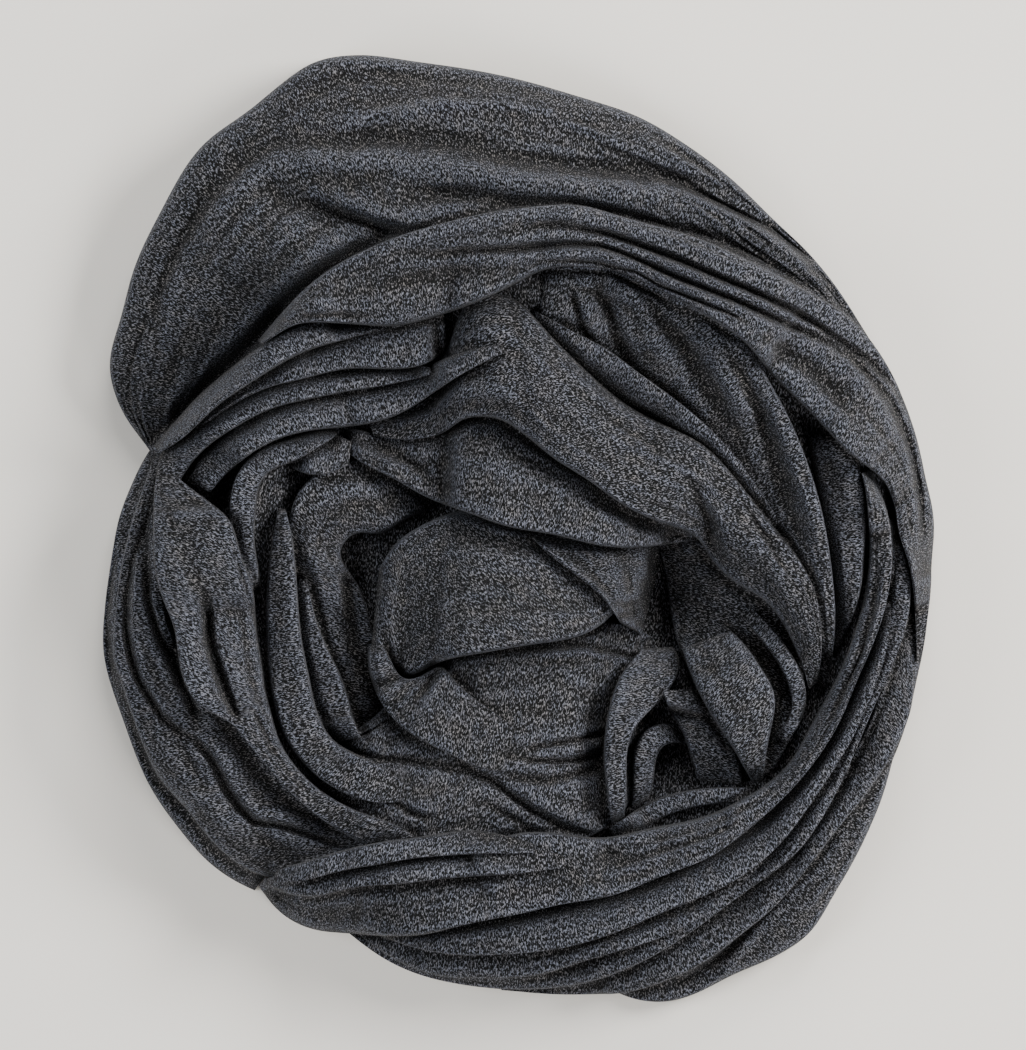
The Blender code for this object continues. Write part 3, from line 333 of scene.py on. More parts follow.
# Stretches down the outside of the nest, lowest first
OUTER_SKIRTS = [
    stretch("corner_end", 12, STEP_OUT, [
        (24, -169, 32, -160, 1),
        (40, -178.5, 46, -164, 5),
        (58, -181, 58, -158, 7),
        (70, -177.5, 66, -153, 8),
        (81, -171.5, 74, -148, 8),
        (100, -163, 86, -138, 9),
        (112, -155, 96, -127, 10),
        (121, -138, 105, -116, 10),
        (131, -119, 115, -103, 10),
        (139, -101, 124, -91, 9),
        (145, -82, 132, -76, 7),
        (151, -62, 139, -62, 4),
    ], creases=[
        (1.4, 0, [(64, -178, 0), (69, -176, 1.5), (78, -169, 2), (85, -160, 2), (91.6, -152, 2),
            (102.3, -141, 2), (111.7, -131.7, 2), (119.8, -121, 2), (125, -111.6, 2), (131, -104, 0)]),
        (2.6, 0, [(52, -177, 0), (64, -172, -5), (74, -165, -6), (83, -156, -5), (92, -146, -4),
            (102, -135, -3), (112, -122, 0)]),
        (1.3, 0, [(106, -147, 0), (111.7, -141, 1.5), (118, -134, 1.5), (122.5, -128, 0)]),
    ]),
    stretch("right_skirt", 0, STEP_OUT, [
        (154, -6, 140, -8, 3),
        (156, -20, 140, -20, 8),
        (156, -36, 140, -35, 9),
        (154.5, -50, 138, -48, 9),
        (150.5, -65, 134, -60, 8),
        (146, -80, 130, -72, 6),
        (140, -95, 126, -84, 3),
    ]),
    stretch("left_skirt", 0, STEP_OUT, [
        (-138, 34, -131, 35, 0.5),
        (-143, 26.5, -133, 28, 4),
        (-147, 18, -134, 20, 6),
        (-152.5, 5, -138, 8, 9),
        (-156.5, -13, -142, -11, 10),
        (-159, -33, -145, -31, 10),
        (-159, -45, -145, -45, 10),
        (-156, -61, -140, -60, 9),
        (-149, -82, -133, -76, 8),
        (-140.5, -100, -127, -90, 7),
        (-132, -113, -117, -102, 7),
        (-119, -127, -106, -114, 6),
        (-106, -135.5, -97, -124, 4),
        (-98, -139, -92, -130, 1),
    ], creases=[
        (1.5, 0, [(-147, 16, 0), (-154, -8, -2.5), (-157, -35, -2.5), (-155, -58, -2.5),
            (-148, -80, 0)]),
    ]),
    stretch("outer_wrap", 5, POUCH, [
        (-139.5, 27, -133, 22, 1),
        (-153, 46, -118, 42, 10),
        (-157, 62, -102, 52, 17),
        (-151.5, 82, -92, 64, 21),
        (-146.5, 100, -84, 74, 24),
        (-137, 120, -76, 82, 27),
        (-120, 148, -64, 90, 29),
        (-103, 159.5, -55, 94, 29),
        (-90, 170, -47, 98, 28),
        (-79, 178, -40, 101, 26),
        (-62, 181, -30, 104, 25),
        (-40, 178.5, -14, 107, 23),
        (-5, 172, 8, 111, 20),
        (22, 164, 24, 111, 18),
        (45, 156.5, 38, 109, 17),
        (65, 145, 54, 103, 15),
        (80, 133.5, 68, 98.5, 14),
        (95, 120, 80, 93, 13),
        (112, 104, 98, 85, 11),
        (123, 89.5, 110, 77, 10),
        (134, 72, 121, 68, 8),
        (144, 57, 131, 54, 7),
        (152, 33, 141, 32, 5),
        (155.5, 12, 147, 12, 2),
    ], creases=[
        (5.0, 0, [(-97, 137, 0), (-90, 138.5, 4), (-75, 139, 6), (-55, 139, 6), (-30, 136, 5), (0, 131, 6),
            (40, 129, 6), (66, 127, 5), (85, 118, 3), (99, 110, 2), (107, 105, 0)]),
        (6.0, 0, [(-80, 145, 0), (-58, 148, -5), (-30, 147, -5), (0, 139, -6), (20, 136, -9),
            (41, 134.8, -10), (54, 132.7, -10), (67, 128, -8), (80, 122, -6), (93.5, 115, -4),
            (106, 106, 0)]),
        (1.7, -1.2, [(50, 134, 0), (60, 131, -3), (67.3, 127.7, -6), (80.4, 121.7, -7), (93.5, 115.2, -7),
            (106.6, 106.4, -6), (115.4, 99.9, -4), (120, 93, 0)]),
        (6.0, 0, [(-84, 150, 0), (-62, 154, 4), (-34, 159, 5), (-5, 160, 5), (22, 155, 4),
            (50, 145, 4), (74, 134, 0)]),
        (2.0, 0, [(-70, 149, 0), (-58, 154.4, 2), (-47.5, 156.6, 2), (-31, 160.4, 2), (-14.7, 160, 2),
            (-2.7, 159.4, 2), (11.5, 156.7, 2), (24.7, 151.2, 2), (41, 144.7, 2), (54.2, 139.2, 2.5),
            (67.3, 135.4, 2.5), (80.4, 129.4, 2.5), (91.3, 121.7, 2), (100, 114, 0)]),
        (2.6, 1.5, [(-84, 125, 0), (-74, 122, -5), (-64, 118, -9), (-53, 114, -11), (-43, 112, -8),
            (-32, 114, 0)]),
        (6.0, 0, [(-102, 127, 0), (-94, 126, -5), (-84, 122, -7), (-74, 117, -7), (-62, 112, -6),
            (-50, 109, 0)]),
        (4.2, 0, [(-46, 127, 0), (-30, 126, -5), (-3, 123.5, -7), (17, 123.4, -6), (25, 120.6, -8),
            (41, 117.3, -9), (54, 114.6, -10), (65, 112.4, -11), (78, 109, -10), (90, 103, -8),
            (101, 96.6, -6), (112, 91, 0)]),
        (4.5, 0, [(-138, 34, -4), (-129, 44.5, -12), (-118, 55, -16), (-107, 65, -17), (-97, 75, -17),
            (-87, 86, -17), (-76, 96, -16), (-63, 104.5, -14), (-50, 110, -10), (-42, 113, 0)]),
        (15.0, 0, [(-142, 36, 0), (-130, 50, -10), (-118, 62, -13), (-106, 76, -12), (-94, 90, -8),
            (-80, 101, 0)]),
        (5.0, 0, [(-96, 137, 2), (-107, 128, 3.5), (-115, 118, 3), (-122, 106, 0)]),
        (5.0, 0, [(-88, 150, 0), (-104, 140, -3.5), (-116, 127, -3.5), (-124, 112, -2), (-130, 98, 0)]),
        (1.8, 1.2, [(84, 131, 0), (98, 114, -3), (112, 99, -4), (122, 86, -3), (134, 70, 0)]),
        (1.4, 0, [(-78, 175, 0), (-68, 176.5, 1), (-56, 176.5, 1), (-40, 173, 0)]),
        (2.2, 0, [(-140, 70, 0), (-136, 90, -2), (-128, 108, -2), (-118, 122, 0)]),
    ]),
    stretch("hem_band", 0, STEP_OUT, [
        (-10, -176.5, 0, -168, 1),
        (20, -178, 24, -166, 5),
        (42, -177, 40, -160, 7),
        (60, -170, 54, -152, 8),
        (77, -161.5, 68, -143, 8),
        (90, -150.5, 82, -136, 8),
        (102, -138, 94, -125, 8),
        (112, -127, 105, -114, 8),
        (122, -114, 115, -102, 8),
        (132, -101, 124, -89, 8),
        (141, -87, 132, -74, 8),
        (148, -72, 138, -60, 6),
        (150.5, -58, 141, -44, 3),
        (149, -42, 144, -36, 1),
    ]),
    stretch("lower_band", 0, STEP_OUT, [
        (-76, -146, -73, -142, 0.5),
        (-50, -165.5, -46, -156, 5),
        (-28, -173, -25, -160, 8),
        (-2, -176.5, -3, -161, 9),
        (22, -174.5, 18, -157, 9),
        (40, -168, 34, -150, 9),
        (60, -157, 52, -140, 8),
        (80, -143, 70, -127, 8),
        (101, -127, 91, -113, 8),
        (120, -103, 112, -92, 8),
        (133, -74, 125, -69, 8),
        (141, -55, 133, -50, 8),
        (147, -36, 138, -33, 8),
        (149, -20, 140, -18, 7),
        (147, -6, 141, -6, 4),
        (143, 6, 140, 6, 1),
    ]),
    stretch("middle_band", 0, STEP_OUT, [
        (-74, -146, -71, -142, 0.5),
        (-45, -166, -42, -153, 5),
        (-28, -170.5, -26, -154, 8),
        (-8, -172, -8, -153, 8),
        (8, -170, 6, -151, 8),
        (22, -165.5, 18, -148, 8),
        (40, -160, 34, -143, 7),
        (56, -153.5, 50, -137, 6),
        (72, -145, 66, -130, 5),
        (86, -134, 80, -122, 3),
        (96, -124, 92, -116, 0.5),
    ]),
    stretch("upper_band", 0, STEP_OUT, [
        (-70, -148, -66, -143, 0.5),
        (-48, -157.5, -44, -148, 4),
        (-28, -161, -26, -147, 6),
        (0, -162, -2, -143, 7),
        (18, -159.5, 14, -139, 7),
        (34, -154.5, 28, -134, 7),
        (50, -148, 44, -129, 7),
        (64, -143, 58, -122, 7),
        (80, -135, 73, -114, 7),
        (94, -124.5, 88, -109, 7),
        (106, -111, 100, -97, 7),
        (117, -96, 111, -85, 7),
        (126, -81, 119, -72, 7),
        (134, -63, 127, -57, 6),
        (139, -48, 132, -43, 5),
        (141, -36, 133, -32, 2),
        (141, -26, 137, -24, 0.5),
    ]),
    stretch("left_wrap", 0, (0.18, 2.6, 1.3), [
        (-138, 30, -128, 30, 3),
        (-141, 20, -129, 20, 6),
        (-146, 8, -130, 8, 8),
        (-151.5, -13, -127, -14, 11),
        (-154.5, -33, -122, -34, 12),
        (-155, -48, -116, -50, 13),
        (-150, -62, -108, -64, 14),
        (-144, -78, -100, -76, 14),
        (-138, -95, -92, -88, 14),
        (-126, -108, -82, -100, 12),
        (-116, -120, -70, -110, 10),
        (-105, -129, -60, -116, 7),
        (-92, -134, -50, -120, 3),
        (-80, -136, -42, -122, 1),
    ], creases=[
        (2.2, 1.2, [(-141, 8, 0), (-143, 0, -4), (-147, -14, -7), (-149, -27, -9), (-149.2, -38, -9),
            (-147.3, -49, -9), (-144.8, -57, -9), (-140, -65, -9), (-135.4, -71.6, -7), (-130.8, -75.6, -4),
            (-126, -78.5, -3), (-122.6, -80.3, -4), (-118.5, -85, -7), (-115.6, -89.6, -9),
            (-111, -99, -10), (-106.3, -106, -10), (-100.5, -111.2, -9), (-90, -113.2, -9),
            (-74.8, -117.6, -8), (-63, -121, 0)]),
        (2.4, 1.2, [(-140, 4, 0), (-142, -8, -4), (-141.9, -15, -6), (-140.7, -27.9, -9),
            (-137.2, -39.5, -10), (-132.5, -50, -10), (-128.5, -59.3, -10), (-123.8, -68.7, -8),
            (-119, -74, 0)]),
        (3.6, 0, [(-135, -28, 0), (-131, -36, -8), (-129.5, -44, -8), (-129, -52, -5), (-127, -60, 0)]),
        (4.0, 0, [(-118, -72, 0), (-110, -76, -6), (-104, -83, -8), (-99, -91, -8), (-92, -98, -8),
            (-83, -106, -7), (-72, -114, -5), (-60, -120, 0)]),
        (4.0, 0, [(-140, -72, 0), (-132, -86, 3), (-122, -100, 3), (-110, -112, 2), (-98, -120, 0)]),
        (2.6, 0, [(-147, -76, 0), (-139, -92, -3.5), (-129, -104, -4), (-116, -115, 0)]),
    ]),
]

# Folds and flaps inside the nest, lowest first
NEST_FOLDS = [
    stretch("right_inner_fold", 0, ROLL, [
        (124, 40, 108, 36, 2),
        (130, 25, 112, 22, 6),
        (132, 10, 115, 8, 9),
        (131.5, -6, 117.5, -6, 10),
        (131, -20, 119.5, -18, 9),
        (128, -32, 120.5, -28, 6),
        (123, -42, 120, -38, 3),
        (120, -50, 118.5, -47, 0.5),
    ]),
    stretch("nest_rib_inner", 0, ROLL, [
        (-83, -17, -81.5, -17, 0.5),
        (-85, -30, -78.5, -30, 6),
        (-84, -42, -74.5, -42, 9),
        (-81, -56, -69.5, -54, 10),
        (-78.5, -68, -65, -66, 10),
        (-74, -78, -61, -76, 7),
        (-68, -84, -58, -81, 2),
    ]),
    stretch("nest_rib_outer", 0, ROLL, [
        (-91, 10, -89.5, 10, 0.5),
        (-93, 0, -87, 0, 6),
        (-95.5, -12, -85.5, -12, 10),
        (-97, -28, -84.5, -28, 12),
        (-97, -45, -83, -44, 13),
        (-95.5, -60, -80, -58, 13),
        (-92.5, -72, -77.5, -68, 12),
        (-87, -84, -72, -79, 10),
        (-77, -94.5, -65, -84, 8),
        (-64, -101.5, -56, -88, 5),
        (-51, -104, -47, -93, 2),
        (-42, -103, -41, -99, 0.5),
    ]),
    stretch("nest_pillow", -40, (0.5, 2.4, 2.6), [
        (-57, -27, -58.5, -42, 1),
        (-53.5, -15, -57.5, -54, 9),
        (-47, -6, -52, -60, 15),
        (-38, 1, -43, -58, 20),
        (-26, 6, -30, -50, 22),
        (-10, 6, -10, -46.5, 23),
        (6, 4, 6, -45, 23),
        (20, 0, 20, -42, 20),
        (34, -4, 32, -36, 14),
        (44, -8, 41, -27, 7),
        (50, -12, 46, -20, 1),
    ], creases=[
        (2.0, 0, [(-50.5, -36, 0), (-50, -44, -4), (-48.5, -52, -7), (-44, -57.5, -8), (-38, -57, -8),
            (-32, -51, -7), (-28, -47, -3)]),
        (6.0, 0, [(-30, -4, 0), (-20, -12, 1.5), (-4, -14, 1.5), (14, -20, 0)]),
    ]),
    stretch("pillow_curl", 10, ROLL, [
        (-57, -42, -53, -42, 0.5),
        (-57.5, -51, -49, -50, 4),
        (-55.5, -61, -44, -58, 7),
        (-50.5, -70, -37, -56.5, 8),
        (-43, -77, -29.5, -50.5, 8),
        (-34, -82, -26, -57, 6),
        (-23, -87, -17, -65, 3.5),
        (-12, -91, -6, -72, 1.5),
        (-4, -92, 1, -78, 0.5),
    ], creases=[
        (1.8, 0, [(-40, -67, 0), (-35.5, -62, -5), (-31.5, -56, -7), (-27.5, -51, -5)]),
        (2.5, 0, [(-52, -62, 0), (-47, -70, -2), (-38, -76, -2), (-30, -79, 0)]),
    ]),
    stretch("pillow_side", 15, (0.3, 2.2, MELTS), [
        (3, -1, 54, 0, 2),
        (8, -7, 54, -8, 5),
        (17, -14, 52.5, -16, 6),
        (26, -20.5, 51, -23, 6),
        (31, -25, 49, -29, 5),
        (35, -30, 48, -35, 3),
        (38, -35, 47, -40, 1.5),
        (40, -39, 46, -43, 0.5),
    ], creases=[
        (1.5, 0, [(34, -28.5, 0), (40, -29.5, -4), (47, -27.5, -4), (52, -27, 0)]),
        (1.4, 0, [(33, -26, 0), (40, -26.5, 2), (49, -25, 1.5)]),
        (1.5, 0, [(30, -34.5, 0), (37, -34, -4), (45, -31.5, -4), (50, -31, 0)]),
        (1.6, 0, [(29, -38.5, 0), (35, -37.5, 3), (42, -37, 3), (48, -36, 0)]),
    ]),
    stretch("hollow_fold", 0, ROLL, [
        (42, -110, 49, -105, 1),
        (43.5, -98, 52, -97, 6),
        (43.5, -86, 53, -87, 8),
        (47, -77, 56, -82, 8),
        (57, -74, 62, -82, 5),
        (66, -76, 68, -82, 1),
    ]),
    stretch("upright_fold", 0, ROLL, [
        (50, -43, 57, -43, 0.5),
        (43, -50, 62, -48, 4),
        (38, -58, 59, -59, 9),
        (35.5, -66, 51, -68, 12),
        (33.5, -76, 44.5, -75, 13),
        (32.5, -88, 41.5, -86, 13),
        (33, -100, 41, -99, 10),
        (34, -109, 40, -108, 6),
        (36, -115, 40, -113, 1),
    ]),
    stretch("corner_lining", 0, SHEET, [
        (54, -60, 68, -58, 1),
        (56, -68, 76, -72, 5),
        (62, -78, 82, -84, 7),
        (66, -90, 86, -93, 6),
        (70, -99, 84, -100, 2),
    ]),
    stretch("right_rib", 0, ROLL, [
        (86, -28, 84, -32, 0.5),
        (96, -38, 92, -42, 4),
        (104, -48, 99, -52, 6),
        (109, -58, 103, -61, 6),
        (110, -68, 104, -69, 5),
        (106, -77, 101, -75, 3),
        (99, -84, 96, -81, 1),
    ]),
    stretch("folded_corner", 30, SHEET, [
        (61.5, -43.5, 78, -37, 6),
        (63.6, -51, 86, -44, 10),
        (68, -61, 92.5, -53, 12),
        (74, -73, 98.5, -64, 12),
        (80, -83, 95.5, -79, 10),
        (86, -92, 93.5, -91, 6),
        (90.5, -99.5, 92, -99, 0.5),
    ]),
    stretch("rim_fold", 0, ROLL, [
        (34, -121, 32, -116, 1),
        (44, -116, 40, -110, 4),
        (56, -109.5, 52, -103, 6),
        (68, -106, 66, -99.5, 6),
        (80, -104.5, 80, -98.5, 5),
        (92, -102, 92, -98.5, 1),
    ]),
    stretch("under_flap", 0, (0.45, 1.8, 2.4), [
        (-69, 37, -68, 31, 1),
        (-60, 37, -61, 25, 6),
        (-48, 34, -49, 19.5, 9),
        (-34, 38, -36, 12, 12),
        (-16, 46, -18, 6, 15),
        (2, 42, -2, 0.5, 16),
        (22, 32, 16, -4, 16),
        (40, 22, 34, -6.5, 14),
        (56, 12, 50, -7, 11),
        (68, 4, 62, -5.5, 6),
        (76, -2, 70, -5, 1),
    ], creases=[
        (1.2, 0, [(-29, 32, 0), (-29.5, 24, -2), (-30, 15, -3), (-30, 11, 0)]),
        (3.0, 0, [(-60, 36, 0), (-54, 31, -4), (-45, 27, -5), (-37, 22, -4), (-32, 16, 0)]),
        (2.2, 0, [(-67, 33, 1), (-60, 28.5, 3), (-50, 24, 3), (-42, 19.5, 3), (-34, 15, 2), (-24, 11, 0)]),
        (4.0, 0, [(-12, 40, 0), (-8, 25, 1.5), (-2, 8, 0)]),
        (4.0, 0, [(12, 28, 0), (15, 12, 1.5), (20, 0, 0)]),
        (3.0, 0, [(20, 16, 0), (32, 9, -4), (44, 2, -5), (56, -3, -4), (64, -6, 0)]),
    ]),
    stretch("right_sweep", 20, (0.22, 2.4, 1.5), [
        (8, 100, 4, 70, 3),
        (22, 101, 18, 62, 7),
        (38, 98, 28, 56, 10),
        (58, 91, 40, 46, 12),
        (77, 80, 54, 36, 13),
        (92, 62, 66, 24, 14),
        (102, 44, 76, 12, 14),
        (110, 25, 84, 0, 14),
        (116, 4, 92, -10, 14),
        (119.5, -18, 99, -22, 13),
        (120, -38, 105, -38, 10),
        (118, -54, 111, -51, 4),
        (116, -64, 113, -61, 1),
    ], creases=[
        (3.6, 0, [(27, 95, 0), (30, 91, -7), (33.4, 83.5, -10), (37.8, 72.5, -9), (41, 65, -4),
            (44, 60, 0)]),
        (1.8, 1.0, [(19, 92, 0), (20.8, 86.7, -6), (24.7, 75.8, -6), (28, 70, 0)]),
        (4.5, 0, [(48, 90, 0), (54, 80, -6), (60.7, 72.5, -8), (67.3, 61.6, -8), (73.8, 50.7, -6),
            (80, 40, -3), (86, 28, 0)]),
        (5.0, 0, [(74, 76, 0), (84, 60, 2), (96, 46, 5), (105, 28, 5), (112, 4, 4), (117, -20, 0)]),
        (4.5, 0, [(76, 68, 0), (85, 58, -6), (90, 48.5, -9), (96, 33, -9), (100, 18, -7), (106, 0, -4),
            (110, -12, 0)]),
        (3.0, 0, [(36, 94, 0), (46, 84, 2.5), (53, 70, 3), (58, 56, 0)]),
        (3.0, 0, [(66, 84, 0), (74, 70, 3), (80, 55, 3), (86, 40, 0)]),
        (1.6, 0, [(22, 98, 0), (36, 96, -2.5), (52, 88, -3), (66, 78, -2), (76, 68, 0)]),
    ]),
    stretch("flap_edge_roll", 0, (0.35, 2.2, 1.4), [
        (2, 84, 0, 78, 0.5),
        (18, 76, 14, 66, 3),
        (31, 69, 26, 56, 5),
        (44, 59, 38, 45, 6),
        (58, 49.5, 52, 36, 6),
        (72, 38.5, 66, 26, 6),
        (84, 26, 77, 15, 5),
        (93, 13, 86, 4, 3),
        (101, 0, 95, -6, 0.5),
    ]),
    stretch("middle_flap", 60, (0.55, 1.5, 2.3), [
        (-62, 44, -58, 36, 0.5),
        (-44, 49, -40, 33, 4),
        (-34, 56, -29, 35, 7),
        (-26, 72, -20, 42, 10),
        (-20, 86, -8, 41.5, 12),
        (-4, 88, 2, 35, 14),
        (12, 73, 12, 28, 14),
        (28, 58, 24, 20, 14),
        (43, 46, 38, 10, 13),
        (56, 39, 52, 3, 12),
        (71, 31, 67, -3.5, 12),
        (84, 17, 74, -14, 12),
        (94, 4, 82, -21, 12),
        (104, -8, 93, -27, 11),
        (112, -22, 101, -37, 8),
        (115, -36, 106, -48, 5),
        (115, -50, 109, -56, 2),
        (113, -62, 110.5, -63, 0.5),
    ], creases=[
        (4.0, 0, [(-32, 38, 0), (-28, 47, 4), (-20, 52, 5), (-8, 52, 4), (4, 50, 0)]),
        (3.2, 2.2, [(62, 22, 0), (67, 14, -4), (71, 4, -6), (75, -8, -5), (80, -18, 0)]),
        (2.2, 0, [(-50, 46, 0), (-42, 43, -4), (-34, 45, -5), (-29, 51, -4), (-24, 58, 0)]),
        (3.5, 0, [(4, 68, 0), (20, 56, 2), (36, 44, 2), (52, 34, 0)]),
        (2.2, 1.0, [(84, 14, 0), (90, 2, -3), (96, -8, -3), (104, -20, 0)]),
        (3.0, 0, [(92, -4, 0), (99, -18, 2), (106, -34, 2), (110, -46, 0)]),
    ]),
    stretch("rope", 0, (0.48, 2.3, 2.3), [
        (-101, -134, -99, -132, 0.3),
        (-94, -145, -88, -136, 5),
        (-80, -153, -74, -134, 10),
        (-62, -154.5, -60, -129, 12),
        (-40, -154, -40, -127, 12),
        (-20, -151, -19, -121, 12),
        (0, -147.5, -3, -116.5, 12),
        (20, -142, 15, -116, 11),
        (38, -138.5, 32, -118, 11),
        (58, -131, 52, -114, 12),
        (80, -119.5, 76, -107.5, 12),
        (95, -108, 90, -100.5, 11),
        (110, -92, 103, -88.5, 9),
        (120, -76, 112, -74, 8),
        (128, -58, 120, -58, 8),
        (135, -42, 126, -43, 8),
        (140, -25, 131, -27, 8),
        (141.5, -10, 132.5, -10, 8),
        (140, 5, 132, 5, 7),
        (136, 17, 131, 16, 4),
        (132, 25, 129, 23, 1),
    ], creases=[
        (1.3, 0, [(30, -134, 0), (36.5, -131.7, 2), (47.3, -127.7, 2.5), (58, -123.7, 2.5),
            (68.8, -120.3, 2.5), (78.2, -117, 2.5), (84.9, -112.2, 2), (92, -106, 0)]),
        (2.6, 0, [(34, -136, 0), (48, -131.5, -1.5), (62, -127.5, -2), (76, -122, -2), (88, -114, -1.5),
            (98, -105, 0)]),
        (1.3, 0, [(-50, -153, 0), (-29, -151, 2), (-9, -148.6, 2), (7, -144, 2), (23, -141, 2),
            (38, -137.4, 2), (52.6, -133.2, 2), (66, -129, 2), (74, -125, 2), (85, -118.6, 2),
            (93, -112, 0)]),
        (3.6, 0, [(26, -123.5, 0), (33, -124.5, -4), (40, -123, 0)]),
        (7.0, 0, [(44, -118, 0), (40, -127, -2), (20, -132, -2.5), (0, -136, -2), (-20, -138, 0)]),
        (1.4, 0, [(40, -124, 0), (60, -119, 2), (80, -112, 2), (96, -103, 0)]),
        (1.4, 0.6, [(114, -82, 0), (122, -66, -3), (130, -48, -3), (135, -30, -3), (137, -12, 0)]),
    ]),
]

